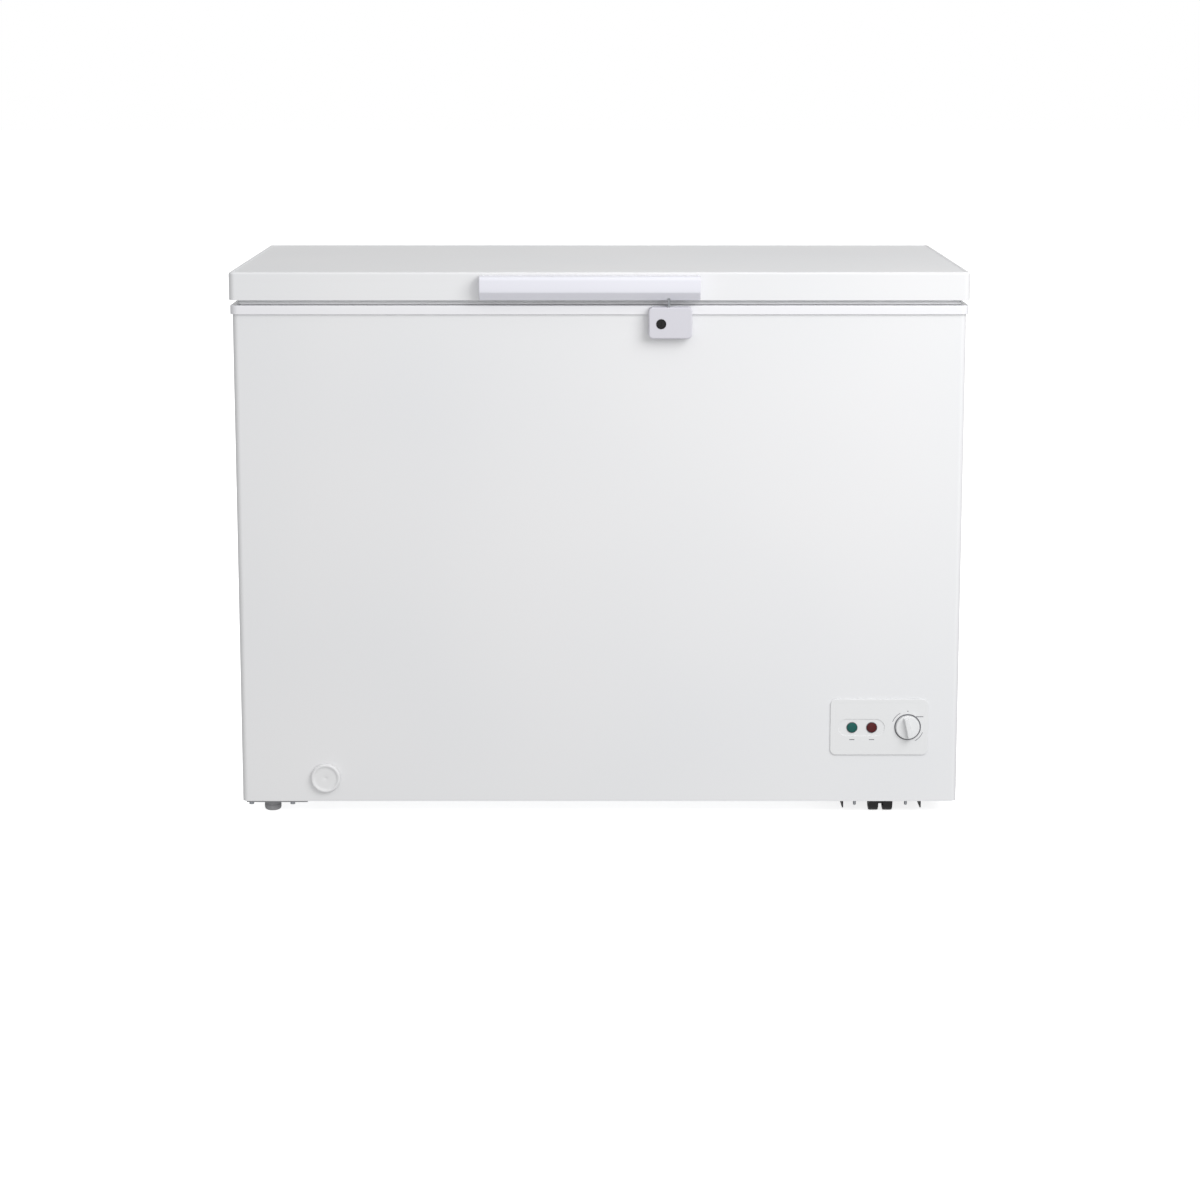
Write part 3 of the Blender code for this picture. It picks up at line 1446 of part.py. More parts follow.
FOAM = paint("foam", (0.85, 0.76, 0.50), 0.95)
GREEN_LENS = paint("green_lens", (0.0, 0.13, 0.11), 0.15)
RED_LENS = paint("red_lens", (0.11, 0.002, 0.003), 0.15)

cabinet_wrap()
side_grille()
rear_panel()
rear_cover()
cable_gland()
base_plate()
step_plate()
inner_liner()
cabinet_foam()
drain_pipe()
top_frame()
condenser_coil()
evaporator_coil()
compressor()
compressor_bracket()
compressor_mounts()
starter_relay()
suction_line()
discharge_line()
filter_drier()
control_panel()
control_box()
lamps()
thermostat()
thermostat_knob()
drain_cap()
drain_plug()
left_rail()
right_rail()
levelling_feet()
caster("front", FRONT + CASTER_FROM_FACE)
caster("rear", REAR - CASTER_FROM_FACE)
lid_skin()
lid_liner()
lid_foam()
lid_gasket()
lid_handle()
lock_strike()
lock_body()
lock_cylinder()
lock_cam()
hinge("left", -HINGE_X)
hinge("right", HINGE_X)
basket()
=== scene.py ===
"""Looks for a white chest freezer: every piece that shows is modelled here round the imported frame.

Metres, +Z up. The front faces -Y and the right-hand end is at +X.
"""

import math
from contextlib import contextmanager

import bmesh
import bpy
from bpy.props import FloatProperty, FloatVectorProperty, PointerProperty
from mathutils import Matrix, Vector


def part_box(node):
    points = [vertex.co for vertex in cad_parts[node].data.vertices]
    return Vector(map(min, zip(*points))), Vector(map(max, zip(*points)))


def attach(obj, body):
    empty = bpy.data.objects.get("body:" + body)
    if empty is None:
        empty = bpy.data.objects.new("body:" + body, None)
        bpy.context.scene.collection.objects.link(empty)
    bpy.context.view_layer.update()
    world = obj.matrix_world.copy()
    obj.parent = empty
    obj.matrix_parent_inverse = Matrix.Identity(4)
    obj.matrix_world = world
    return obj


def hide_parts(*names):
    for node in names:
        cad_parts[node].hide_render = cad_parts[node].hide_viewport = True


bl_info = {
    "name": "Chest freezer",
    "version": (1, 0, 0),
    "blender": (4, 5, 0),
    "location": "View3D > Sidebar > Freezer",
    "description": "Models and finishes the pieces of a white chest freezer",
    "category": "Object",
}

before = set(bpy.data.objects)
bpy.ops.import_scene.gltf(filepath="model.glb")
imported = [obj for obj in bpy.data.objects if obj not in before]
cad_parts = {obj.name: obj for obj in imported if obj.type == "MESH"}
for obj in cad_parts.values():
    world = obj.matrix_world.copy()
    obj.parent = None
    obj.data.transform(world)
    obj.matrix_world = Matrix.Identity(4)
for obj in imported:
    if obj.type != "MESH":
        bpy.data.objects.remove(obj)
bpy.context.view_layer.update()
MM = 0.001

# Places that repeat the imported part's own, in metres
LID_LOW, LID_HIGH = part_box("lid_skin")
BODY_LOW, BODY_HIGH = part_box("cabinet_wrap")
RIM_LOW, RIM_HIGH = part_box("top_frame")
GRIP_LOW, GRIP_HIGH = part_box("lid_handle")
LOCK_LOW, LOCK_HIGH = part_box("lock_body")
KEY_LOW, KEY_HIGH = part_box("lock_cylinder")
PANEL_LOW, PANEL_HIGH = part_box("control_panel")
KNOB_LOW, KNOB_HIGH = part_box("thermostat_knob")
CAP_LOW, CAP_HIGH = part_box("drain_cap")
TUB_LOW, TUB_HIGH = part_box("inner_liner")
LINING_LOW, LINING_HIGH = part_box("lid_liner")
SEAL_LOW, SEAL_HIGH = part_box("lid_gasket")
BASKET_LOW, BASKET_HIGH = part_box("basket")
LEFT_LOW, LEFT_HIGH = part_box("left_rail")
BACK_LOW, BACK_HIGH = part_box("rear_panel")
COVER_LOW, COVER_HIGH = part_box("rear_cover")
WALL = 62 * MM
# The tub's step over the machine compartment: its upright and its flat
STEP_X = 269 * MM
STEP_Z = 359.5 * MM
CAP_X, CAP_Z = (CAP_LOW.x + CAP_HIGH.x) / 2, (CAP_LOW.z + CAP_HIGH.z) / 2
DRAIN_Y = -150 * MM
DRAIN_HOLE = 6 * MM
KEY_X, KEY_Z = (KEY_LOW.x + KEY_HIGH.x) / 2, (KEY_LOW.z + KEY_HIGH.z) / 2
KEY_R = (KEY_HIGH.x - KEY_LOW.x) / 2
KNOB_X, KNOB_Z = (KNOB_LOW.x + KNOB_HIGH.x) / 2, (KNOB_LOW.z + KNOB_HIGH.z) / 2
LAMP_X = [sum(corner.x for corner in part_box(lamp)) / 2 for lamp in ("power_lamp", "alarm_lamp")]
PILL_X = sum(LAMP_X) / 2 - 0.75 * MM
PILL_Z = sum(corner.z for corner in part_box("power_lamp")) / 2
PILL_FLOOR = PANEL_LOW.y + 1.3 * MM


# ---- colours and nodes -----------------------------------------------------------------------

DRIFT = 0.35  # metres over which a finish drifts from one tone to the other


def linear(code):
    """Linear colour from an sRGB hex value."""
    channels = [int(code[i : i + 2], 16) / 255 for i in (1, 3, 5)]
    return tuple(c / 12.92 if c <= 0.04045 else ((c + 0.055) / 1.055) ** 2.4 for c in channels) + (1.0,)


def add(tree, kind, settings=None, links=None, **values):
    """Adds a node, sets what it has, fills its sockets, and links sockets to it."""
    node = tree.nodes.new(kind)
    for key, value in (settings or {}).items():
        setattr(node, key, value)
    for key, value in values.items():
        node.inputs[key.replace("_", " ")].default_value = value
    for key, source in (links or {}).items():
        tree.links.new(source, node.inputs[key])
    return node


def finish_of(name, **values):
    """New material and its shader, with its uniform values set on the shader's own sockets."""
    material = bpy.data.materials.new(name)
    material.use_nodes = True
    shader = material.node_tree.nodes["Principled BSDF"]
    for key, value in values.items():
        shader.inputs[key.replace("_", " ")].default_value = value
    return material, material.node_tree, shader


def surface(name, base, other, grain, height, spread=0.5, rough=None, detail=2.0, **values):
    """Finish whose colour drifts between two tones, its grain and bump in real millimetres."""
    material, tree, shader = finish_of(name, **values)
    place = add(tree, "ShaderNodeTexCoord").outputs["Object"]
    noise = add(tree, "ShaderNodeTexNoise", links={"Vector": place}, Scale=1 / (grain * MM), Detail=detail)
    drift = add(tree, "ShaderNodeTexNoise", links={"Vector": place}, Scale=1 / DRIFT, Detail=1.0)
    ramp = add(tree, "ShaderNodeValToRGB", links={"Fac": drift.outputs["Fac"]})
    ramp.color_ramp.elements[0].position = 0.5 - spread / 2
    ramp.color_ramp.elements[1].position = 0.5 + spread / 2
    ramp.color_ramp.elements[0].color = linear(base)
    ramp.color_ramp.elements[1].color = linear(other)
    relief = {"Height": noise.outputs["Fac"]}
    bump = add(tree, "ShaderNodeBump", links=relief, Distance=height * MM, Strength=1.0)
    tree.links.new(ramp.outputs["Color"], shader.inputs["Base Color"])
    tree.links.new(bump.outputs["Normal"], shader.inputs["Normal"])
    if rough:
        source = {"Value": noise.outputs["Fac"]}
        span = add(tree, "ShaderNodeMapRange", links=source, To_Min=rough[0], To_Max=rough[1])
        tree.links.new(span.outputs["Result"], shader.inputs["Roughness"])
    return material


# ---- finishes --------------------------------------------------------------------------------


def baked_enamel_steel():
    """Sheet steel with baked white enamel: the faint orange peel of a sprayed coat breaks its sheen."""
    return surface(
        "baked_enamel_steel", "#EFEFF0", "#EBECEE", grain=3.0, height=0.012,
        Roughness=0.36, Coat_Weight=0.12, Coat_Roughness=0.14,
    )


def galvanised_sheet():
    """Zinc dipped sheet: large soft crystals that turn the reflection a little."""
    material, tree, shader = finish_of("galvanised_sheet", Metallic=1.0)
    place = add(tree, "ShaderNodeTexCoord").outputs["Object"]
    cells = add(tree, "ShaderNodeTexVoronoi", links={"Vector": place}, Scale=1 / (9 * MM))
    ramp = add(tree, "ShaderNodeValToRGB", links={"Fac": cells.outputs["Color"]})
    ramp.color_ramp.elements[0].color = linear("#A9ADB1")
    ramp.color_ramp.elements[1].color = linear("#CDD0D3")
    tree.links.new(ramp.outputs["Color"], shader.inputs["Base Color"])
    span = add(tree, "ShaderNodeMapRange", links={"Value": cells.outputs["Color"]}, To_Min=0.34, To_Max=0.50)
    tree.links.new(span.outputs["Result"], shader.inputs["Roughness"])
    return material


def zinc_plated_steel():
    """Bright zinc plate on small steel parts, with the drag marks of barrel plating."""
    return surface(
        "zinc_plated_steel", "#C2C6CB", "#AEB2B8", grain=1.2, height=0.01, rough=(0.24, 0.42),
        Metallic=1.0,
    )


def grey_powder_coat():
    """Grey powder coat on folded steel: a fine even pebble with little gloss."""
    return surface("grey_powder_coat", "#9A9B9E", "#919396", grain=1.4, height=0.03, Roughness=0.48)


def black_powder_coat():
    """Black powder coat on the caster channel and the compressor, slightly dusty."""
    return surface("black_powder_coat", "#0A0A0B", "#121213", grain=1.4, height=0.03, rough=(0.38, 0.55))


def spring_wire_steel():
    """Oiled spring wire, dark and drawn smooth."""
    return surface(
        "spring_wire_steel", "#6B6C6E", "#7B7C7F", grain=0.8, height=0.005, rough=(0.26, 0.38),
        Metallic=1.0,
    )


def drawn_copper_tube():
    """Soft drawn copper, dulled brown in patches by handling and brazing heat."""
    return surface(
        "drawn_copper_tube", "#C9784F", "#A65F3E", grain=6.0, height=0.01, spread=0.3, rough=(0.25, 0.45),
        Metallic=1.0,
    )


def glossy_white_abs():
    """Glossy moulded ABS: cleaner and shinier than the enamel beside it, with slight sink waves."""
    return surface(
        "glossy_white_abs", "#F3F3F5", "#F0F0F4", grain=24.0, height=0.05,
        Roughness=0.16, Coat_Weight=0.2, Coat_Roughness=0.05, IOR=1.53,
    )


def lilac_white_abs():
    """The grip's glossy ABS, its gloss varying in patches; its lilac cast, cooler than the enamel, is a
    painted reflection.
    """
    return surface(
        "lilac_white_abs", "#EEEEF6", "#E9E9F2", grain=30.0, height=0.05, rough=(0.12, 0.24),
        Coat_Weight=0.35, Coat_Roughness=0.04, IOR=1.53,
    )


def satin_white_abs():
    """Satin moulded ABS of the panel, knob and stopper: spark-eroded grain takes the gloss off."""
    return surface(
        "satin_white_abs", "#EDEDEE", "#E9EAEB", grain=0.9, height=0.012, Roughness=0.34, IOR=1.53
    )


def grey_lilac_abs():
    """The lock case's pale grey ABS with a faint lilac cast."""
    return surface(
        "grey_lilac_abs", "#DAD9E0", "#D3D2DA", grain=0.9, height=0.015, Roughness=0.36, IOR=1.53
    )


def grey_polypropylene():
    """Grey polypropylene of the feet, drain and grille, waxy and slightly scuffed."""
    return surface(
        "grey_polypropylene", "#A3A3A6", "#98989B", grain=2.0, height=0.02, rough=(0.40, 0.58), IOR=1.49
    )


def black_nylon():
    """Black nylon of casters, relay and key barrel, with a dull moulded skin."""
    return surface(
        "black_nylon", "#060607", "#0C0C0D", grain=1.6, height=0.02, rough=(0.30, 0.46), IOR=1.53
    )


def vacuum_formed_polystyrene():
    """Vacuum formed polystyrene of the tub and lid linings: glossy, with shallow forming ripples."""
    return surface(
        "vacuum_formed_polystyrene", "#F1F2F4", "#ECEEF1", grain=40.0, height=0.10,
        Roughness=0.24, Coat_Weight=0.15, IOR=1.59,
    )


def soft_pvc_seal():
    """Soft PVC of the lid seal: matt, its tone drifting a little at random."""
    return surface(
        "soft_pvc_seal", "#F4F4F5", "#EEEFF0", grain=2.5, height=0.03, rough=(0.50, 0.66), IOR=1.53
    )


def dipped_wire():
    """Steel wire dipped in white polyethylene: soft gloss and slightly uneven thickness."""
    return surface(
        "dipped_wire", "#EEEEF0", "#E8E8EB", grain=5.0, height=0.08,
        Roughness=0.30, Coat_Weight=0.2, IOR=1.51,
    )


def moulded_rubber():
    """Black moulded rubber, matt and faintly bloomed."""
    return surface(
        "moulded_rubber", "#1B1B1C", "#2A2A2B", grain=1.8, height=0.03, rough=(0.66, 0.84), IOR=1.52
    )


def poured_foam():
    """Poured polyurethane foam: straw colour with open cells where it was trimmed."""
    return surface(
        "poured_foam", "#E6D6A2", "#D8C58C", grain=1.5, height=0.5, detail=4.0, Roughness=0.92
    )


def lamp_lens(name, tint, deep):
    """Clear tinted polycarbonate over an unlit lamp, with small moulded prisms that break its shine."""
    moulding = {"Roughness": 0.22, "Coat_Weight": 0.1, "IOR": 1.45}
    return surface(name, tint, deep, grain=1.3, height=0.04, detail=0.0, **moulding)


def green_polycarbonate():
    """Green lens of the power lamp."""
    return lamp_lens("green_polycarbonate", "#00655F", "#00554F")


def red_polycarbonate():
    """Dark red lens of the alarm lamp."""
    return lamp_lens("red_polycarbonate", "#620208", "#500206")


def printed_grey_ink():
    """Pad-printed grey marks, thin enough that the panel's grain shows in them."""
    return surface("printed_grey_ink", "#77777C", "#828287", grain=0.9, height=0.01, Roughness=0.5)


def shadow_grey_abs():
    """Dark grey plastic; round the knob it is painted shade of the gap that the knob turns in."""
    return surface(
        "shadow_grey_abs", "#77777B", "#6B6B70", grain=0.9, height=0.01, Roughness=0.45, IOR=1.53
    )


# Every finish with the record's slot that it belongs to
FINISHES = {
    baked_enamel_steel: "white_steel",
    galvanised_sheet: "zinc_plate",
    zinc_plated_steel: "zinc_plate",
    grey_powder_coat: "grey_steel",
    black_powder_coat: "black_steel",
    spring_wire_steel: "spring_steel",
    drawn_copper_tube: "copper",
    glossy_white_abs: "white_plastic",
    lilac_white_abs: "white_plastic",
    satin_white_abs: "white_plastic",
    grey_lilac_abs: "grey_plastic",
    grey_polypropylene: "grey_plastic",
    black_nylon: "black_plastic",
    vacuum_formed_polystyrene: "tub_plastic",
    soft_pvc_seal: "gasket_grey",
    dipped_wire: "white_wire",
    moulded_rubber: "rubber",
    poured_foam: "foam",
    green_polycarbonate: "green_lens",
    red_polycarbonate: "red_lens",
    printed_grey_ink: "grey_plastic",
    shadow_grey_abs: "grey_plastic",
}


# ---- modelling -------------------------------------------------------------------------------

STRAIGHT = 0.98  # cosine past which a direction counts as along an axis
MERGE = 0.005 * MM


def deselect():
    """Leaves edit mode, with no object selected."""
    if bpy.context.mode != "OBJECT":
        bpy.ops.object.mode_set(mode="OBJECT")
    bpy.ops.object.select_all(action="DESELECT")


def only(obj):
    """Selects one object alone and makes it active."""
    deselect()
    obj.select_set(True)
    bpy.context.view_layer.objects.active = obj
    return obj


def new_primitive(kind, **settings):
    """Adds a primitive with nothing else selected, its place kept in its mesh."""
    deselect()
    getattr(bpy.ops.mesh, f"primitive_{kind}_add")(**settings)
    obj = bpy.context.object
    bpy.ops.object.transform_apply(location=True, rotation=True, scale=True)
    return obj


@contextmanager
def editing(obj):
    """Edit mode on one object, with all of it selected at first."""
    only(obj)
    bpy.ops.object.mode_set(mode="EDIT")
    bpy.ops.mesh.select_mode(type="VERT")
    bpy.ops.mesh.select_all(action="SELECT")
    yield
    bpy.ops.object.mode_set(mode="OBJECT")


def pick(kind, test):
    """In edit mode, selects the points, edges or faces that pass a test."""
    bpy.ops.mesh.select_mode(type=kind)
    bpy.ops.mesh.select_all(action="DESELECT")
    data = bpy.context.edit_object.data
    shape = bmesh.from_edit_mesh(data)
    for item in {"VERT": shape.verts, "EDGE": shape.edges, "FACE": shape.faces}[kind]:
        if test(item):
            item.select_set(True)
    shape.select_flush_mode()
    bmesh.update_edit_mesh(data)


def close_up():
    """In edit mode, merges doubled points and turns every face outwards."""
    bpy.ops.mesh.select_all(action="SELECT")
    bpy.ops.mesh.remove_doubles(threshold=MERGE)
    bpy.ops.mesh.normals_make_consistent(inside=False)


def along(axis, inside=lambda middle: True):
    """Test for edges that run along an axis, with their middle in a given place."""

    def test(edge):
        first, last = (v.co for v in edge.verts)
        step = last - first
        return abs(step[axis]) > STRAIGHT * step.length and inside((first + last) / 2)

    return test


def facing(axis, sign, inside=lambda middle: True):
    """Test for faces that look along an axis, with their middle in a given place."""
    return lambda face: face.normal[axis] * sign > STRAIGHT and inside(face.calc_center_median())


def round_edges(obj, test, width, steps):
    """Bevels chosen edges of an object."""
    with editing(obj):
        pick("EDGE", test)
        bpy.ops.mesh.bevel(offset=width, segments=steps, profile=0.5, affect="EDGES")
    return obj


def cut_faces(obj, test):
    """Deletes chosen faces of an object."""
    with editing(obj):
        pick("FACE", test)
        bpy.ops.mesh.delete(type="FACE")
    return obj


def apply_modifier(obj, kind, **settings):
    """Adds a modifier and applies it."""
    only(obj)
    modifier = obj.modifiers.new(kind.lower(), kind)
    for key, value in settings.items():
        setattr(modifier, key, value)
    bpy.ops.object.modifier_apply(modifier=modifier.name)
    return obj


def soften(obj, width, steps=2, angle=30):
    """Breaks every sharp edge by a small round."""
    limit = math.radians(angle)
    return apply_modifier(obj, "BEVEL", width=width, segments=steps, limit_method="ANGLE", angle_limit=limit)


def carve(obj, tool, operation="DIFFERENCE"):
    """Takes a tool shape away from an object, or joins it on, and drops the tool."""
    apply_modifier(obj, "BOOLEAN", object=tool, operation=operation, solver="EXACT")
    bpy.data.objects.remove(tool, do_unlink=True)
    return obj


def brick(low, high):
    """Box between two corners."""
    low, high = Vector(low), Vector(high)
    return new_primitive("cube", size=1.0, location=(low + high) / 2, scale=high - low)


def slab(low, high, axis, radius, steps=8):
    """Box with the four edges along one axis rounded."""
    return round_edges(brick(low, high), along(axis), radius, steps)


def drill(axis, centre, radius, length, steps=40):
    """Round cutter along an axis."""
    turn = {0: (0.0, math.pi / 2, 0.0), 1: (math.pi / 2, 0.0, 0.0), 2: (0.0, 0.0, 0.0)}[axis]
    size = {"vertices": steps, "radius": radius, "depth": length}
    return new_primitive("cylinder", location=centre, rotation=turn, **size)


def raised(pair, axis, place):
    """Point with a place on one axis and a pair of values on the other two."""
    return Vector((*pair[:axis], place, *pair[axis:]))


def polyline(points, closed=False):
    """Line of edges, made by extruding one point after another."""
    obj = new_primitive("plane", size=MM, location=points[0])
    with editing(obj):
        bpy.ops.mesh.merge(type="CENTER")
        here = Vector(points[0])
        for point in points[1:]:
            step = Vector(point) - here
            bpy.ops.mesh.extrude_region_move(TRANSFORM_OT_translate={"value": step})
            here = Vector(point)
        if closed:
            ends = (Vector(points[0]), here)
            pick("VERT", lambda v: min((v.co - end).length for end in ends) < 0.001 * MM)
            bpy.ops.mesh.edge_face_add()
    return obj


def turned(profile, axis, centre, steps=48):
    """Profile of (radius, place) spun about an axis; one that stays clear of the axis is a ring."""
    points = [Vector(centre) + raised((radius, 0.0), axis, place) for radius, place in profile]
    obj = polyline(points, closed=profile[0][0] > 0)
    direction = raised((0.0, 0.0), axis, 1.0)
    with editing(obj):
        bpy.ops.mesh.spin(steps=steps, angle=2 * math.pi, center=centre, axis=direction)
        close_up()
    return obj


def drawn_round(section, low, high, radius, steps=8):
    """Section of (distance outwards, height) drawn round a rectangle with round corners."""
    low, high = Vector(low), Vector(high)
    obj = polyline([(high.x + u, low.y + radius, z) for u, z in section], closed=True)
    span = high - low - Vector((2 * radius, 2 * radius))
    corners = (
        ((high.x - radius, high.y - radius, 0.0), (0.0, span.y, 0.0)),
        ((low.x + radius, high.y - radius, 0.0), (-span.x, 0.0, 0.0)),
        ((low.x + radius, low.y + radius, 0.0), (0.0, -span.y, 0.0)),
        ((high.x - radius, low.y + radius, 0.0), (span.x, 0.0, 0.0)),
    )
    with editing(obj):
        for centre, step in corners:
            bpy.ops.mesh.extrude_region_move(TRANSFORM_OT_translate={"value": step})
            bpy.ops.mesh.spin(steps=steps, angle=-math.pi / 2, center=centre, axis=(0.0, 0.0, 1.0))
        close_up()
    return obj


def prism(outline, axis, start, end):
    """Flat outline, filled and extruded along an axis."""
    obj = polyline([raised(pair, axis, start) for pair in outline])
    step = raised((0.0, 0.0), axis, end - start)
    with editing(obj):
        bpy.ops.mesh.edge_face_add()
        bpy.ops.mesh.extrude_region_move(TRANSFORM_OT_translate={"value": step})
        close_up()
    return obj


def arc(centre, radius, start, end, steps):
    """Points on an arc, by angles in degrees."""
    turns = [math.radians(start + (end - start) * i / steps) for i in range(steps + 1)]
    return [(centre[0] + radius * math.cos(t), centre[1] + radius * math.sin(t)) for t in turns]


def rounded(low, high, radius, steps=6):
    """Points of a rectangle with round corners."""
    points = []
    for u, v, start in (
        (high[0] - radius, high[1] - radius, 0),
        (low[0] + radius, high[1] - radius, 90),
        (low[0] + radius, low[1] + radius, 180),
        (high[0] - radius, low[1] + radius, 270),
    ):
        points += arc((u, v), radius, start, start + 90, steps)
    return points


def eased(points, radius, steps=4):
    """Path with its inner corners rounded."""
    path = [Vector(points[0])]
    for before, corner, after in zip(points, points[1:], points[2:]):
        corner = Vector(corner)
        start = corner + (Vector(before) - corner).normalized() * radius
        end = corner + (Vector(after) - corner).normalized() * radius
        for i in range(steps + 1):
            t = i / steps
            path.append(start * (1 - t) ** 2 + corner * (2 * t * (1 - t)) + end * t**2)
    path.append(Vector(points[-1]))
    return path


def wire(points, radius, closed=False):
    """Round wire along a path, its line turned to a curve, thickened, and turned back."""
    only(polyline(points, closed))
    bpy.ops.object.convert(target="CURVE")
    curve = bpy.context.object.data
    curve.bevel_depth = radius
    curve.bevel_resolution = 2
    curve.use_fill_caps = not closed
    bpy.ops.object.convert(target="MESH")
    obj = bpy.context.object
    with editing(obj):
        close_up()
    return obj


def joined(objects):
    """Several objects made one."""
    only(objects[0])
    for obj in objects:
        obj.select_set(True)
    bpy.ops.object.join()
    return bpy.context.object


def copied(obj, step):
    """Copy with its own mesh, moved by a step."""
    only(obj)
    bpy.ops.object.duplicate()
    twin = bpy.context.object
    twin.location = step
    bpy.ops.object.transform_apply(location=True, rotation=True, scale=True)
    return twin


def repeated(obj, steps):
    """Copies of an object, each moved by a step, in place of the object itself."""
    twins = [copied(obj, step) for step in steps]
    bpy.data.objects.remove(obj, do_unlink=True)
    return twins


def settle(obj, name, body, finish, nodes=(), angle=32):
    """Names a finished piece, smooths it, gives it its finish, and lets it ride on its body."""
    only(obj)
    bpy.ops.object.shade_smooth_by_angle(angle=math.radians(angle))
    apply_modifier(obj, "WEIGHTED_NORMAL", keep_sharp=True)
    obj.name = name
    obj.data.name = name
    obj.data.materials.clear()
    obj.data.materials.append(bpy.data.materials[finish])
    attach(obj, body)
    if nodes:
        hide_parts(*nodes)
    return obj


def kept(node, name, body, finish, width, angle=32):
    """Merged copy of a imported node, finished, with its edges broken by a width in millimetres."""
    obj = bpy.data.objects.new(node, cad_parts[node].data.copy())
    bpy.context.scene.collection.objects.link(obj)
    with editing(obj):
        bpy.ops.mesh.remove_doubles(threshold=MERGE)
        bpy.ops.mesh.dissolve_limited(angle_limit=math.radians(0.5))
    if width:
        soften(obj, width * MM)
    return settle(obj, name, body, finish, [node], angle)


# ---- settings --------------------------------------------------------------------------------


class FreezerCamera(bpy.types.PropertyGroup):
    """Where the camera stands."""

    lens: FloatProperty(name="Lens", description="Focal length", default=82.337, min=10.0, unit="CAMERA")
    place: FloatVectorProperty(
        name="Place", description="Camera's place", size=3, default=(0.0009, -4.4001, 1.2), unit="LENGTH"
    )
    tilt: FloatProperty(name="Tilt", description="Downward tilt", default=0.16568, subtype="ANGLE")
    shift: FloatProperty(name="Shift", description="Shift of the lens", default=-0.09, soft_min=-0.2)


class FreezerSheets(bpy.types.PropertyGroup):
    """Folded and pressed sheets of the cabinet and the lid."""

    sheet: FloatProperty(name="Sheet", description="Sheet's thickness", default=0.001, unit="LENGTH")
    hem: FloatProperty(name="Hem", description="Fold along the lower edge", default=0.006, unit="LENGTH")
    corner: FloatProperty(name="Corner", description="Cabinet's front corners", default=0.009, unit="LENGTH")
    lid_corner: FloatProperty(name="Lid corner", description="Lid's corners", default=0.010, unit="LENGTH")
    lid_edge: FloatProperty(
        name="Lid edge", description="Round of the lid's rim", default=0.0035, unit="LENGTH"
    )
    lid_rim: FloatProperty(
        name="Lid rim", description="Width of the raised rim", default=0.0055, unit="LENGTH"
    )
    lid_sink: FloatProperty(
        name="Lid sink", description="Depth inside the rim", default=0.0012, unit="LENGTH"
    )
    tub_corner: FloatProperty(
        name="Tub corner", description="Tub's inner corners", default=0.022, unit="LENGTH"
    )
    liner: FloatProperty(name="Lining", description="Thickness of the linings", default=0.0015, unit="LENGTH")


class FreezerFittings(bpy.types.PropertyGroup):
    """Small fittings."""

    break_edge: FloatProperty(name="Broken edge", description="Round on edges", default=0.0004, unit="LENGTH")
    rim_wire: FloatProperty(
        name="Rim wire", description="Radius of the basket's rim", default=0.003, unit="LENGTH"
    )
    wire: FloatProperty(
        name="Wire", description="Radius of the basket's wires", default=0.0015, unit="LENGTH"
    )
    pitch: FloatProperty(name="Pitch", description="Step between wires", default=0.025, unit="LENGTH")
    screw: FloatProperty(name="Screw", description="Radius of a screw's head", default=0.0036, unit="LENGTH")


# ---- stage -----------------------------------------------------------------------------------


class FREEZER_OT_camera(bpy.types.Operator):
    """Places the camera in front of the freezer, a little above its lid"""

    bl_idname = "freezer.camera"
    bl_label = "Camera"

    def execute(self, context):
        sizes = context.scene.freezer_camera
        bpy.ops.object.camera_add(location=sizes.place, rotation=(math.pi / 2 - sizes.tilt, 0.0, 0.0))
        camera = context.object
        camera.data.lens = sizes.lens
        camera.data.sensor_width = 36.0
        camera.data.shift_y = sizes.shift
        context.scene.camera = camera
        return {"FINISHED"}


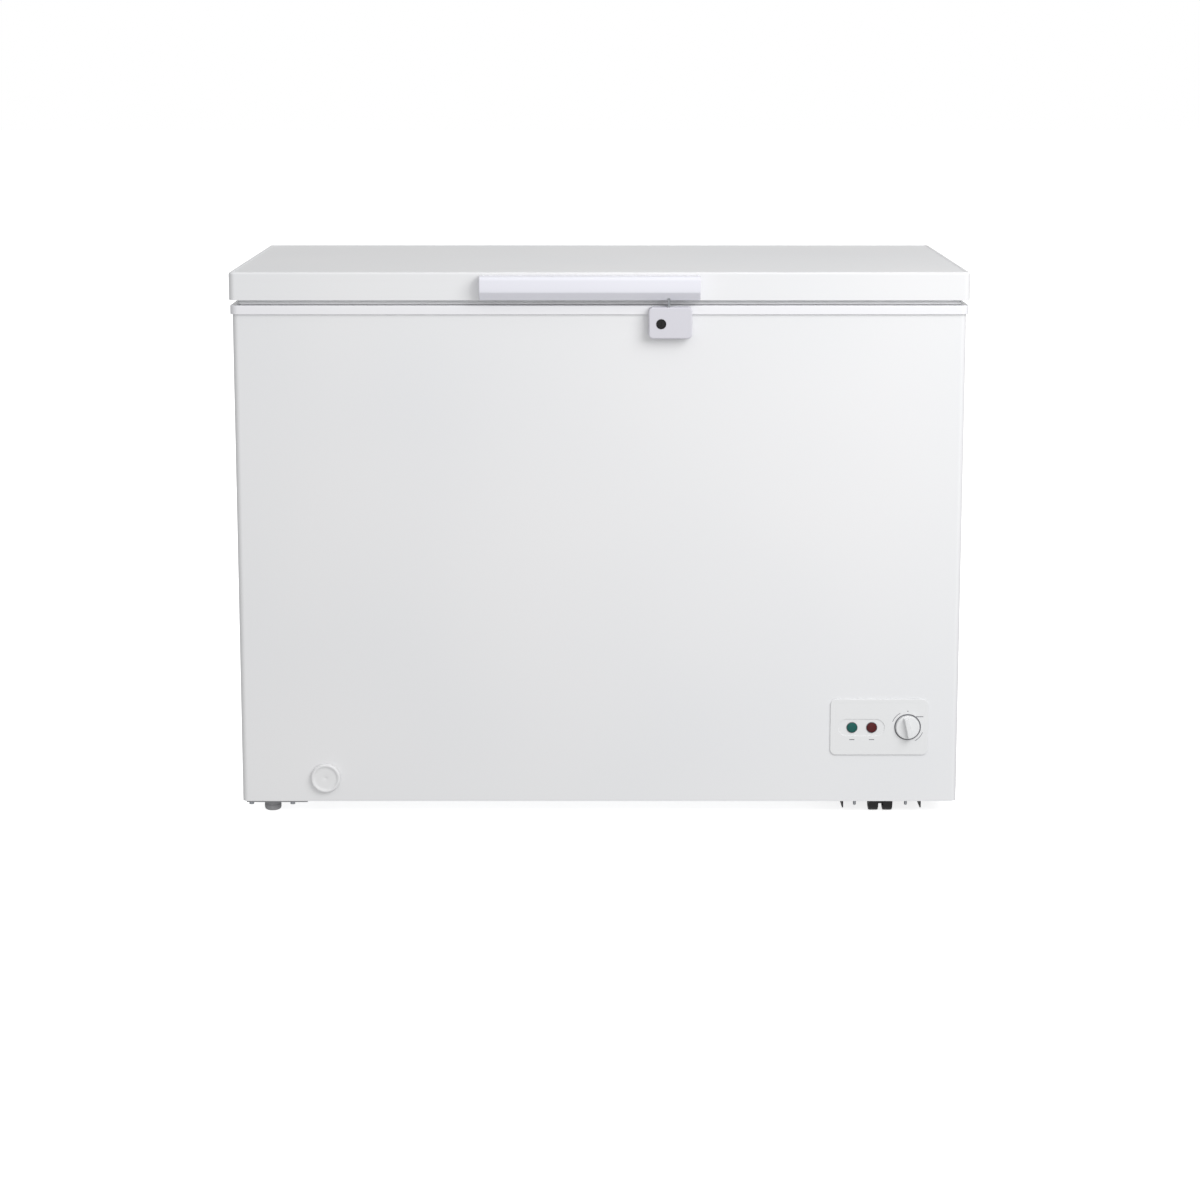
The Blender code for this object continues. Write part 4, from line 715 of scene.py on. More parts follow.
class FREEZER_OT_stage(bpy.types.Operator):
    """Pale floor, a graded sky and two softboxes"""

    bl_idname = "freezer.stage"
    bl_label = "Stage"

    def execute(self, context):
        floor = new_primitive("plane", size=60.0, location=(0.0, 0.0, -0.0002))
        floor.name = "studio_floor"
        material, _, shader = finish_of("studio_floor", Roughness=0.8, Emission_Strength=0.8)
        shader.inputs["Base Color"].default_value = linear("#FBFBFB")
        shader.inputs["Emission Color"].default_value = linear("#FFFFFF")
        floor.data.materials.append(material)
        floor.visible_diffuse = False
        floor.visible_glossy = False

        world = bpy.data.worlds.new("studio_sky")
        world.use_nodes = True
        context.scene.world = world
        tree = world.node_tree
        way = add(tree, "ShaderNodeTexCoord").outputs["Generated"]
        parts = add(tree, "ShaderNodeSeparateXYZ", links={"Vector": way})
        ends = add(tree, "ShaderNodeMath", {"operation": "ABSOLUTE"}, {0: parts.outputs["X"]})
        spans = []
        for source, least, first, last in (
            (parts.outputs["Z"], -1.0, 0.39, 0.68),  # brighter overhead
            (parts.outputs["Y"], -1.0, 0.22, -0.05),  # brighter in front
            (ends.outputs["Value"], 0.0, 0.08, -0.26),  # darker at both ends
        ):
            bounds = {"From_Min": least, "To_Min": first, "To_Max": last}
            span = add(tree, "ShaderNodeMapRange", links={"Value": source}, **bounds)
            spans.append(span.outputs["Result"])
        both = add(tree, "ShaderNodeMath", links={0: spans[0], 1: spans[1]})
        level = add(tree, "ShaderNodeMath", links={0: both.outputs["Value"], 1: spans[2]})
        seen = add(tree, "ShaderNodeLightPath").outputs["Is Camera Ray"]
        shown = add(tree, "ShaderNodeMath", {"operation": "MAXIMUM"}, {0: level.outputs["Value"], 1: seen})
        tree.links.new(shown.outputs["Value"], tree.nodes["Background"].inputs["Strength"])
        tree.nodes["Background"].inputs["Color"].default_value = linear("#FFFFFF")
        context.scene.view_settings.view_transform = "Standard"

        aim = Vector((0.1, 0.0, 0.5))
        for name, place, size, power in (
            ("key_softbox", (1.5, -1.9, 1.9), 1.6, 37.0),
            ("rear_softbox", (-1.8, 3.0, 2.4), 2.0, 9.0),
        ):
            direction = aim - Vector(place)
            turn = direction.to_track_quat("-Z", "Y").to_euler()
            bpy.ops.object.light_add(type="AREA", location=place, rotation=turn)
            context.object.name = name
            context.object.data.size = size
            context.object.data.energy = power
            context.object.visible_glossy = False
        return {"FINISHED"}


class FREEZER_OT_finishes(bpy.types.Operator):
    """Every finish, each named for its material and how its surface was made"""

    bl_idname = "freezer.finishes"
    bl_label = "Finishes"

    def execute(self, context):
        for make in FINISHES:
            make()
        return {"FINISHED"}


# ---- cabinet ---------------------------------------------------------------------------------


class FREEZER_OT_cabinet_sheet(bpy.types.Operator):
    """Enamelled sheet folded round the front and the ends, hemmed along its lower edge"""

    bl_idname = "freezer.cabinet_sheet"
    bl_label = "Cabinet sheet"

    def execute(self, context):
        sizes = context.scene.freezer_sheets
        sheet = round_edges(brick(BODY_LOW, BODY_HIGH), along(2, lambda m: m.y < 0), sizes.corner, 10)
        with editing(sheet):
            pick("FACE", facing(2, -1))
            bpy.ops.mesh.inset(thickness=sizes.hem)
            bpy.ops.mesh.delete(type="FACE")
        cut_faces(sheet, facing(2, 1))
        cut_faces(sheet, facing(1, 1))
        cut_faces(sheet, facing(2, -1, lambda m: m.y > BODY_HIGH.y - sizes.hem))
        apply_modifier(sheet, "SOLIDIFY", thickness=sizes.sheet, offset=-1.0, use_even_offset=True)
        land = Vector((8 * MM, -20 * MM, 8 * MM))
        carve(sheet, brick(PANEL_LOW + land, PANEL_HIGH - land))
        carve(sheet, drill(1, (CAP_X, BODY_LOW.y, CAP_Z), DRAIN_HOLE, 30 * MM))
        low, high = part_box("side_grille")
        reach = Vector((10 * MM, 0.1 * MM, 0.1 * MM))
        carve(sheet, brick(low - reach, high + reach))
        soften(sheet, sizes.sheet * 0.25, 1)
        settle(sheet, "cabinet_sheet", "cabinet", "baked_enamel_steel", ["cabinet_wrap"])
        return {"FINISHED"}


class FREEZER_OT_back_sheet(bpy.types.Operator):
    """Back sheet with its compartment window and three pressed stiffening beads"""

    bl_idname = "freezer.back_sheet"
    bl_label = "Back sheet"

    def execute(self, context):
        sheet = brick(BACK_LOW, BACK_HIGH)
        reach, half = 0.46, 9 * MM
        for z in (0.40, 0.50, 0.60):
            low = (-reach, BACK_LOW.y + 0.4 * MM, z - half)
            high = (reach, BACK_HIGH.y + 1.1 * MM, z + half)
            carve(sheet, slab(low, high, 1, 8.9 * MM), "UNION")
        low = Vector((COVER_LOW.x + 8 * MM, BACK_LOW.y - 10 * MM, COVER_LOW.z + 8 * MM))
        high = Vector((COVER_HIGH.x - 8 * MM, BACK_HIGH.y + 10 * MM, COVER_HIGH.z - 8 * MM))
        carve(sheet, brick(low, high))
        soften(sheet, 0.4 * MM)
        settle(sheet, "back_sheet", "cabinet", "baked_enamel_steel", ["rear_panel"])
        return {"FINISHED"}


class FREEZER_OT_top_surround(bpy.types.Operator):
    """Moulded surround that caps the cabinet, stands proud of it and turns down to meet the tub"""

    bl_idname = "freezer.top_surround"
    bl_label = "Top surround"

    def execute(self, context):
        sizes = context.scene.freezer_sheets
        surround = slab(RIM_LOW, RIM_HIGH, 2, sizes.corner + 3.5 * MM)
        top = RIM_HIGH.z - 0.01 * MM
        round_edges(surround, lambda e: min(v.co.z for v in e.verts) > top, 1.4 * MM, 4)
        under = RIM_HIGH.z - 1.5 * MM
        gap = Vector((0.3 * MM, 0.3 * MM, 0.0))
        low = Vector((BODY_LOW.x, BODY_LOW.y, RIM_LOW.z - 0.02)) - gap
        hollow = slab(low, Vector((BODY_HIGH.x, BODY_HIGH.y, under)) + gap, 2, sizes.corner)
        # The mouth is cut from well below the rim to well above it, and its lip is 1.5 mm thick
        below, above, skin = Vector((0.0, 0.0, 0.5)), Vector((0.0, 0.0, 0.9)), 1.5 * MM
        lip = Vector((BODY_HIGH.x - WALL + skin, BODY_HIGH.y - WALL + skin, 0.0))
        carve(hollow, slab(-lip + below, lip + above, 2, sizes.tub_corner + skin))
        carve(surround, hollow)
        mouth = Vector((BODY_HIGH.x - WALL, BODY_HIGH.y - WALL, 0.0))
        carve(surround, slab(-mouth + below, mouth + above, 2, sizes.tub_corner))
        low = Vector((-lip.x - MM, -lip.y - MM, RIM_LOW.z - 0.02))
        carve(surround, brick(low, Vector((lip.x + MM, lip.y + MM, TUB_HIGH.z + 0.3 * MM))))
        soften(surround, 0.4 * MM)
        settle(surround, "top_surround", "cabinet", "glossy_white_abs", ["top_frame"])
        return {"FINISHED"}


class FREEZER_OT_tub(bpy.types.Operator):
    """Formed tub lining with the step over the machine compartment"""

    bl_idname = "freezer.tub"
    bl_label = "Tub"

    def execute(self, context):
        sizes = context.scene.freezer_sheets
        x = TUB_HIGH.x - sizes.liner
        y = TUB_HIGH.y - sizes.liner
        floor = TUB_LOW.z + sizes.liner
        top = TUB_HIGH.z
        outline = [(-x, floor), (STEP_X, floor), (STEP_X, STEP_Z), (x, STEP_Z), (x, top), (-x, top)]
        tub = prism(outline, 1, -y, y)
        round_edges(tub, lambda e: min(v.co.z for v in e.verts) < top - MM, sizes.tub_corner, 8)
        cut_faces(tub, facing(2, 1, lambda m: m.z > top - MM))
        apply_modifier(tub, "SOLIDIFY", thickness=sizes.liner, offset=1.0, use_even_offset=True)
        carve(tub, drill(2, (CAP_X, DRAIN_Y, floor), DRAIN_HOLE, 30 * MM))
        settle(tub, "formed_tub", "cabinet", "vacuum_formed_polystyrene", ["inner_liner"])
        return {"FINISHED"}


class FREEZER_OT_lock_case(bpy.types.Operator):
    """Lock case, notched over the surround and open on top for the lid's tongue"""

    bl_idname = "freezer.lock_case"
    bl_label = "Lock case"

    def execute(self, context):
        sizes = context.scene.freezer_fittings
        case = slab(LOCK_LOW, LOCK_HIGH, 1, 7 * MM)
        front = LOCK_LOW.y + 0.01 * MM
        round_edges(case, lambda e: max(v.co.y for v in e.verts) < front, 2.5 * MM, 5)
        low = (LOCK_LOW.x - 0.02, RIM_LOW.y - 0.3 * MM, RIM_LOW.z - 0.3 * MM)
        carve(case, brick(low, (LOCK_HIGH.x + 0.02, LOCK_HIGH.y + 0.02, LOCK_HIGH.z + 0.02)))
        carve(case, drill(1, (KEY_X, KEY_HIGH.y - 15 * MM, KEY_Z), KEY_R + 0.35 * MM, 30 * MM))
        low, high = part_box("lock_cam")
        swing = Vector((KEY_X + 17.5 * MM, high.y + 0.5 * MM, KEY_Z + 17.5 * MM))
        carve(case, brick(low - Vector((0.5 * MM, 0.5 * MM, 0.5 * MM)), swing))
        low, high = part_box("lock_strike")
        middle = (low.x + high.x) / 2
        slot_low = (middle - 2 * MM, low.y - MM, low.z - MM)
        carve(case, brick(slot_low, (middle + 2 * MM, BODY_LOW.y + 0.02, LOCK_HIGH.z + 0.02)))
        soften(case, sizes.break_edge)
        settle(case, "lock_case", "cabinet", "grey_lilac_abs", ["lock_body"])
        return {"FINISHED"}


class FREEZER_OT_key_barrel(bpy.types.Operator):
    """Black key barrel with its keyway"""

    bl_idname = "freezer.key_barrel"
    bl_label = "Key barrel"

    def execute(self, context):
        face, back = KEY_LOW.y, KEY_HIGH.y
        dish = [(0.0, face + 0.5 * MM), (KEY_R - 2.6 * MM, face + 0.5 * MM), (KEY_R - 2.2 * MM, face)]
        rim = [(KEY_R - 0.8 * MM, face), (KEY_R - 0.2 * MM, face + 0.25 * MM), (KEY_R, face + 0.9 * MM)]
        barrel = turned(dish + rim + [(KEY_R, back), (0.0, back)], 1, (KEY_X, 0.0, KEY_Z))
        low = (KEY_X - 0.8 * MM, face - 0.01, KEY_Z - 4 * MM)
        carve(barrel, brick(low, (KEY_X + 0.8 * MM, face + 3 * MM, KEY_Z + 4 * MM)))
        settle(barrel, "key_barrel", "lock_barrel", "black_nylon", ["lock_cylinder"])
        return {"FINISHED"}


class FREEZER_OT_dial_panel(bpy.types.Operator):
    """Control panel with its pill-shaped recess, a ring of painted shade round the knob and the raised dial
    marks
    """

    bl_idname = "freezer.dial_panel"
    bl_label = "Dial panel"

    def execute(self, context):
        panel = slab(PANEL_LOW, PANEL_HIGH, 1, 9 * MM)
        front = PANEL_LOW.y + 0.01 * MM
        round_edges(panel, lambda e: max(v.co.y for v in e.verts) < front, 0.8 * MM, 3)
        with editing(panel):
            pick("FACE", lambda f: f.normal.y < -0.99 and f.calc_area() > 0.005)
            bpy.ops.mesh.inset(thickness=5.6 * MM)
            bpy.ops.mesh.inset(thickness=0.5 * MM, depth=-0.25 * MM)
        floor = PANEL_LOW.y + 0.25 * MM
        low = (PILL_X - 36 * MM, PANEL_LOW.y - 0.01, PILL_Z - 13.5 * MM)
        high = (PILL_X + 36 * MM, PILL_FLOOR, PILL_Z + 13.5 * MM)
        carve(panel, slab(low, high, 1, 13.4 * MM, 14))
        for x in LAMP_X:
            carve(panel, drill(1, (x, PANEL_LOW.y, PILL_Z), 5.3 * MM, 20 * MM))
        carve(panel, drill(1, (KNOB_X, PANEL_LOW.y, KNOB_Z), 3.6 * MM, 20 * MM))
        soften(panel, 0.2 * MM)
        settle(panel, "dial_panel", "cabinet", "satin_white_abs", ["control_panel"])

        # A thin dark ring round the knob's skirt: painted shade of the gap between knob and panel
        face = floor - 0.35 * MM
        section = [(18.9 * MM, floor), (18.9 * MM, face), (20.6 * MM, face), (20.6 * MM, floor)]
        ring = turned(section, 1, (KNOB_X, 0.0, KNOB_Z), 64)
        settle(ring, "dial_ring", "cabinet", "shadow_grey_abs")

        ink = floor - 0.12 * MM
        marks = []
        for start in (118, -62):
            outer = arc((KNOB_X, KNOB_Z), 25.2 * MM, start, start + 42, 16)
            inner = arc((KNOB_X, KNOB_Z), 24.3 * MM, start + 42, start, 16)
            marks.append(prism(outer + inner, 1, ink, floor))
        marks.append(drill(1, (KNOB_X, (ink + floor) / 2, KNOB_Z + 25 * MM), 0.9 * MM, floor - ink))
        line = (KNOB_X + 13 * MM, ink, KNOB_Z + 15.8 * MM)
        marks.append(brick(line, (KNOB_X + 24 * MM, floor, KNOB_Z + 17.0 * MM)))
        for x in LAMP_X:
            low = (x - 4 * MM, ink, PILL_Z - 19.5 * MM)
            marks.append(brick(low, (x + 4 * MM, floor, PILL_Z - 18.3 * MM)))
        settle(joined(marks), "dial_marks", "cabinet", "printed_grey_ink")
        return {"FINISHED"}


class FREEZER_OT_lamps(bpy.types.Operator):
    """Two domed lamp lenses, each in a thin dark bezel"""

    bl_idname = "freezer.lamps"
    bl_label = "Lamps"

    def execute(self, context):
        rows = (("power_lamp", "green_polycarbonate"), ("alarm_lamp", "red_polycarbonate"))
        for (node, finish), x in zip(rows, LAMP_X):
            low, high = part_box(node)
            radius, seat = (high.x - low.x) / 2, PILL_FLOOR
            turns = [math.radians(10 * i) for i in range(10)]
            dome = [(radius * math.sin(t), seat - 0.5 * MM - 2.0 * MM * math.cos(t)) for t in turns]
            stem = [(radius, seat), (5 * MM, seat), (5 * MM, high.y), (0.0, high.y)]
            lens = turned(dome + stem, 1, (x, 0.0, PILL_Z))
            settle(lens, f"{node}_lens", "cabinet", finish, [node])
            inner, outer, face = radius + 0.1 * MM, radius + 0.9 * MM, seat - 0.9 * MM
            section = [(inner, seat), (inner, face), (outer - 0.3 * MM, face), (outer, seat)]
            bezel = turned(section, 1, (x, 0.0, PILL_Z))
            settle(bezel, f"{node}_bezel", "cabinet", "shadow_grey_abs")
        return {"FINISHED"}


class FREEZER_OT_dial_knob(bpy.types.Operator):
    """Thermostat knob: a round skirt with a leaning grip ridge"""

    bl_idname = "freezer.dial_knob"
    bl_label = "Dial knob"

    def execute(self, context):
        back, radius = KNOB_HIGH.y, KNOB_HIGH.x - KNOB_X
        skirt = [(0.0, back - 4.5 * MM), (radius - 1.6 * MM, back - 4.5 * MM)]
        skirt += [(radius - 0.6 * MM, back - 4.1 * MM)]
        skirt += [(radius, back - 3.2 * MM), (radius, back - 0.6 * MM)]
        skirt += [(radius - 0.5 * MM, back), (0.0, back)]
        knob = turned(skirt, 1, (KNOB_X, 0.0, KNOB_Z), 64)
        length = radius * 0.93
        ridge = brick((-4.5 * MM, -12.5 * MM, -length), (4.5 * MM, -2.5 * MM, length))
        with editing(ridge):
            pick("FACE", facing(1, -1))
            bpy.ops.transform.resize(value=(0.68, 1.0, 0.93))
        soften(ridge, 1.1 * MM, 3)
        lean = Matrix.Rotation(math.radians(-12.0), 4, "Y")
        ridge.data.transform(Matrix.Translation((KNOB_X, back, KNOB_Z)) @ lean)
        carve(knob, ridge, "UNION")
        carve(knob, drill(1, (KNOB_X, back, KNOB_Z), 3.1 * MM, 10 * MM))
        soften(knob, 0.5 * MM, 3, 40)
        settle(knob, "dial_knob", "knob", "satin_white_abs", ["thermostat_knob"])
        return {"FINISHED"}


class FREEZER_OT_drain_stopper(bpy.types.Operator):
    """Round stopper over the drain's mouth, a raised ring round a dished face"""

    bl_idname = "freezer.drain_stopper"
    bl_label = "Drain stopper"

    def execute(self, context):
        back, radius = BODY_LOW.y - 0.3 * MM, (CAP_HIGH.x - CAP_LOW.x) / 2
        profile = [(0.0, -2.4), (0.8, -2.5), (2.2, -3.0), (4.0, -3.5)]
        profile += [(8.0, -3.8), (14.0, -3.9), (16.4, -4.0)]
        profile += [(17.4, -4.5), (18.4, -5.3), (19.4, -5.8), (20.4, -6.0)]
        profile += [(21.4, -5.7), (22.3, -4.9), (22.8, -3.8)]
        profile += [(23.0, -2.4), (23.0, -0.4), (22.7, 0.0), (5.7, 0.0)]
        profile += [(5.7, 12.0), (5.1, 14.0), (0.0, 14.0)]
        scale = radius / 23.0
        stopper = turned([(r * scale, back + p * MM) for r, p in profile], 1, (CAP_X, 0.0, CAP_Z), 64)
        settle(stopper, "drain_stopper_cap", "drain_stopper", "satin_white_abs", ["drain_cap"], 50)
        return {"FINISHED"}


class FREEZER_OT_tub_stopper(bpy.types.Operator):
    """Rubber plug in the floor of the tub with a knob to lift it by"""

    bl_idname = "freezer.tub_stopper"
    bl_label = "Tub stopper"

    def execute(self, context):
        seat = TUB_LOW.z + context.scene.freezer_sheets.liner + 0.3 * MM
        profile = [(0.0, -12.0), (4.6, -12.0), (5.7, -9.0), (5.7, 0.0)]
        profile += [(14.7, 0.0), (15.0, 0.4), (15.0, 3.0)]
        profile += [(14.0, 4.4), (12.6, 5.0), (5.2, 5.0), (4.5, 5.8), (4.5, 9.4), (5.6, 10.6), (6.7, 12.0)]
        profile += [(6.4, 13.8), (4.6, 15.0), (0.0, 15.0)]
        plug = turned([(r * MM, seat + p * MM) for r, p in profile], 2, (CAP_X, DRAIN_Y, 0.0), 40)
        settle(plug, "tub_stopper", "tub_plug", "moulded_rubber", ["drain_plug"], 40)
        return {"FINISHED"}


# ---- lid -------------------------------------------------------------------------------------


class FREEZER_OT_lid_pan(bpy.types.Operator):
    """Pressed lid pan: a rounded rim that stands a little above the field inside it"""

    bl_idname = "freezer.lid_pan"
    bl_label = "Lid pan"

    def execute(self, context):
        sizes = context.scene.freezer_sheets
        pan = slab(LID_LOW, LID_HIGH, 2, sizes.lid_corner, 10)
        top = LID_HIGH.z - 0.01 * MM
        round_edges(pan, lambda e: min(v.co.z for v in e.verts) > top, sizes.lid_edge, 6)
        with editing(pan):
            pick("FACE", lambda f: f.normal.z > 0.99 and f.calc_area() > 0.1)
            bpy.ops.mesh.inset(thickness=sizes.lid_rim - sizes.lid_edge)
            bpy.ops.mesh.inset(thickness=2 * MM, depth=-sizes.lid_sink)
            bpy.ops.mesh.inset(thickness=MM)
            pick("FACE", facing(2, -1))
            bpy.ops.mesh.delete(type="FACE")
        apply_modifier(pan, "SOLIDIFY", thickness=sizes.sheet * 0.9, offset=-1.0, use_even_offset=True)
        soften(pan, 0.2 * MM, 2, 20)
        settle(pan, "lid_pan", "lid", "baked_enamel_steel", ["lid_skin"], 25)
        return {"FINISHED"}


class FREEZER_OT_lid_lining(bpy.types.Operator):
    """Formed lining under the lid with the raised plug that fills the tub's mouth"""

    bl_idname = "freezer.lid_lining"
    bl_label = "Lid lining"

    def execute(self, context):
        sizes = context.scene.freezer_sheets
        plane = SEAL_HIGH.z + 0.3 * MM
        lining = brick((LINING_LOW.x, LINING_LOW.y, plane), LINING_HIGH)
        cut_faces(lining, lambda f: f.normal.z > -0.5)
        with editing(lining):
            bpy.ops.mesh.select_mode(type="FACE")
            bpy.ops.mesh.inset(thickness=LINING_HIGH.x - LID_HIGH.x + 78 * MM)
            bpy.ops.mesh.inset(thickness=10 * MM, depth=plane - LINING_LOW.z)
            bpy.ops.mesh.inset(thickness=36 * MM)
            bpy.ops.mesh.inset(thickness=5 * MM, depth=1.2 * MM)
        round_edges(lining, lambda e: abs(e.verts[0].co.z - e.verts[1].co.z) > 2 * MM, 16 * MM, 6)
        soften(lining, 2.0 * MM, 4, 20)
        apply_modifier(lining, "SOLIDIFY", thickness=sizes.liner, offset=-1.0)
        outer = LINING_HIGH.x - MM
        round_edges(lining, along(2, lambda m: abs(m.x) > outer), 8.7 * MM, 6)
        settle(lining, "lid_lining", "lid", "vacuum_formed_polystyrene", ["lid_liner"])
        return {"FINISHED"}


class FREEZER_OT_lid_seal(bpy.types.Operator):
    """Soft seal round the lid, folded like bellows on both sides"""

    bl_idname = "freezer.lid_seal"
    bl_label = "Lid seal"

    def execute(self, context):
        low, high = SEAL_LOW.z, SEAL_HIGH.z
        rise = high - low
        outer = [(-1.5, 0.0), (-0.4, 0.05), (0.0, 0.17), (-0.1, 0.36), (-2.2, 0.47), (-2.2, 0.53)]
        outer += [(-0.1, 0.64), (0.0, 0.83), (-0.4, 0.95), (-1.5, 1.0)]
        inner = [(-16.0 - u, t) for u, t in outer[::-1]]
        section = [(u * MM, low + t * rise) for u, t in outer + inner]
        seal = drawn_round(section, SEAL_LOW.xy, SEAL_HIGH.xy, 10 * MM)
        settle(seal, "lid_seal", "lid", "soft_pvc_seal", ["lid_gasket"], 40)
        return {"FINISHED"}


class FREEZER_OT_lid_grip(bpy.types.Operator):
    """Moulded grip on the lid's front: a glossy face with a lip undercut for the fingers"""

    bl_idname = "freezer.lid_grip"
    bl_label = "Lid grip"

    def execute(self, context):
        nose, back, low, high = GRIP_LOW.y, GRIP_HIGH.y, GRIP_LOW.z, GRIP_HIGH.z
        lip = low + 12.5 * MM
        outline = [(back, low), (LID_LOW.y - 9.5 * MM, low), (nose + 1.7 * MM, lip - 1.4 * MM)]
        outline += [(nose + 1.0 * MM, lip - 0.4 * MM), (nose + 0.6 * MM, lip + 0.8 * MM)]
        outline += [(nose + 0.2 * MM, lip + 4 * MM), (nose, lip + 8 * MM)]
        outline += arc((nose + 6.5 * MM, high - 7 * MM), 6.5 * MM, 180, 100, 8)
        outline += [(nose + 7.5 * MM, high), (back, high)]
        grip = prism(outline, 0, GRIP_LOW.x, GRIP_HIGH.x)
        front = back - MM
        ends = (GRIP_LOW.x, GRIP_HIGH.x)

        def at_end(edge):
            """Outline edges of the two ends, apart from those against the lid."""
            first, last = (v.co for v in edge.verts)
            across = abs(first.x - last.x) < 0.01 * MM
            return across and min(abs(first.x - x) for x in ends) < 0.01 * MM and min(first.y, last.y) < front

        round_edges(grip, at_end, 1.6 * MM, 4)
        low_box, high_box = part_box("lock_strike")
        room = Vector((0.3 * MM, 0.3 * MM, 0.3 * MM))
        foot_low = Vector((low_box.x, high_box.y - 2 * MM, low + 1.5 * MM))
        carve(grip, brick(foot_low - room, high_box + room + Vector((0.0, 0.02, 0.0))))
        middle = (low_box.x + high_box.x) / 2
        slot_low = (middle - 2 * MM, low_box.y - MM, low - 0.01)
        carve(grip, brick(slot_low, (middle + 2 * MM, high_box.y + 0.02, high_box.z + 0.3 * MM)))
        soften(grip, 0.25 * MM, 2, 50)
        # The grip's lilac cast is a painted reflection
        settle(grip, "lid_grip", "lid", "lilac_white_abs", ["lid_handle"], 40)
        return {"FINISHED"}


# ---- underside and basket --------------------------------------------------------------------


class FREEZER_OT_levelling_feet(bpy.types.Operator):
    """Turned levelling pads on threaded stems, the second a copy of the first"""

    bl_idname = "freezer.levelling_feet"
    bl_label = "Levelling feet"

    def execute(self, context):
        low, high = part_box("foot_front")
        x, y = (low.x + high.x) / 2, (low.y + high.y) / 2
        profile = [(0.0, 0.0), (8.6, 0.0), (9.8, 0.2), (11.2, 0.9), (12.3, 2.2), (12.9, 4.2), (13.0, 6.0)]
        profile += [(13.0, 9.0), (12.5, 9.4), (12.5, 10.4), (13.0, 10.8)]
        profile += [(13.0, 15.2), (12.4, 16.0), (4.0, 16.0)]
        top = high.z / MM
        thread = []
        for i in range(int((top - 17.0) / 1.25)):
            z = 17.0 + 1.25 * i
            thread += [(4.0, z), (3.4, z + 0.6)]
        profile += thread + [(4.0, top - 0.6), (3.4, top), (0.0, top)]
        foot = turned([(r * MM, p * MM) for r, p in profile], 2, (x, y, 0.0), 40)
        rear_low, rear_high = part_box("foot_rear")
        other = copied(foot, (0.0, (rear_low.y + rear_high.y) / 2 - y, 0.0))
        settle(foot, "front_pad", "front_foot", "grey_polypropylene", ["foot_front"])
        settle(other, "rear_pad", "rear_foot", "grey_polypropylene", ["foot_rear"])
        return {"FINISHED"}


class FREEZER_OT_twin_wheels(bpy.types.Operator):
    """Twin wheels with dished hubs on one axle, the second pair a copy of the first"""

    bl_idname = "freezer.twin_wheels"
    bl_label = "Twin wheels"

    def execute(self, context):
        low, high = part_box("caster_wheels_front")
        centre = (low + high) / 2
        radius, outer, inner = (high.z - low.z) / 2, (high.x - low.x) / 2, 3.5 * MM
        middle, half = (outer + inner) / 2, (outer - inner) / 2
        face = [(3.0, 0.0), (5.6, 0.0), (6.4, 0.5), (6.9, 1.8)]
        face += [(11.0, 1.8), (11.6, 1.4), (12.2, 0.3), (12.8, 0.0)]
        face += [(14.8, 0.0), (15.9, 0.35), (16.4, 1.3), (radius / MM, 3.0)]
        left = [(r * MM, -half + p * MM) for r, p in face]
        right = [(r * MM, half - p * MM) for r, p in face[::-1]]
        wheel = turned(left + right, 0, (centre.x - middle, centre.y, centre.z), 56)
        other = copied(wheel, (2 * middle, 0.0, 0.0))
        axle = drill(0, centre, 3.0 * MM, 2 * (outer - 0.5 * MM), 32)
        pair = joined([wheel, other, axle])
        rear_low, rear_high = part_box("caster_wheels_rear")
        twin = copied(pair, (rear_low + rear_high) / 2 - centre)
        settle(pair, "front_pair", "front_wheels", "black_nylon", ["caster_wheels_front"])
        settle(twin, "rear_pair", "rear_wheels", "black_nylon", ["caster_wheels_rear"])
        return {"FINISHED"}


class FREEZER_OT_caster_mounts(bpy.types.Operator):
    """Caster forks and plates, with the bolts that hold the plates"""

    bl_idname = "freezer.caster_mounts"
    bl_label = "Caster mounts"

    def execute(self, context):
        bolts = []
        for side in ("front", "rear"):
            kept(f"caster_fork_{side}", f"{side}_fork", f"{side}_caster", "black_nylon", 0.5)
            plate = f"caster_plate_{side}"
            kept(plate, f"{side}_caster_plate", "cabinet", "zinc_plated_steel", 0.3)
            low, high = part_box(plate)
            for x in (low.x + 6 * MM, high.x - 6 * MM):
                for y in (low.y + 7 * MM, high.y - 7 * MM):
                    bolts.append(Vector((x, y, low.z)))
        first = bolts[0]
        nut = drill(2, first - Vector((0.0, 0.0, 1.6 * MM)), 4.0 * MM, 3.2 * MM, 6)
        soften(nut, 0.3 * MM)
        shank = [(0.0, -30.0), (1.6, -30.0), (2.2, -29.2), (2.2, 0.0), (0.0, 0.0)]
        stem = turned([(r * MM, first.z + p * MM) for r, p in shank], 2, (first.x, first.y, 0.0), 16)
        group = repeated(joined([nut, stem]), [place - first for place in bolts])
        settle(joined(group), "caster_bolts", "cabinet", "zinc_plated_steel")
        return {"FINISHED"}


class FREEZER_OT_rails(bpy.types.Operator):
    """The two folded rails under the cabinet and the bolt heads of the left one"""

    bl_idname = "freezer.rails"
    bl_label = "Rails"

    def execute(self, context):
        kept("left_rail", "foot_channel", "cabinet", "grey_powder_coat", 0.4)
        kept("right_rail", "caster_channel", "cabinet", "black_powder_coat", 0.4)
        x = (LEFT_LOW.x + 7 * MM, LEFT_HIGH.x - 24 * MM)
        y = (LEFT_LOW.y + 7 * MM, LEFT_HIGH.y - 7 * MM)
        places = [Vector((u, v, LEFT_LOW.z - 2.2 * MM)) for u in x for v in y]
        head = soften(drill(2, places[0], 4.2 * MM, 4.6 * MM, 6), 0.5 * MM)
        group = repeated(head, [place - places[0] for place in places])
        settle(joined(group), "channel_screws", "cabinet", "zinc_plated_steel")
        return {"FINISHED"}


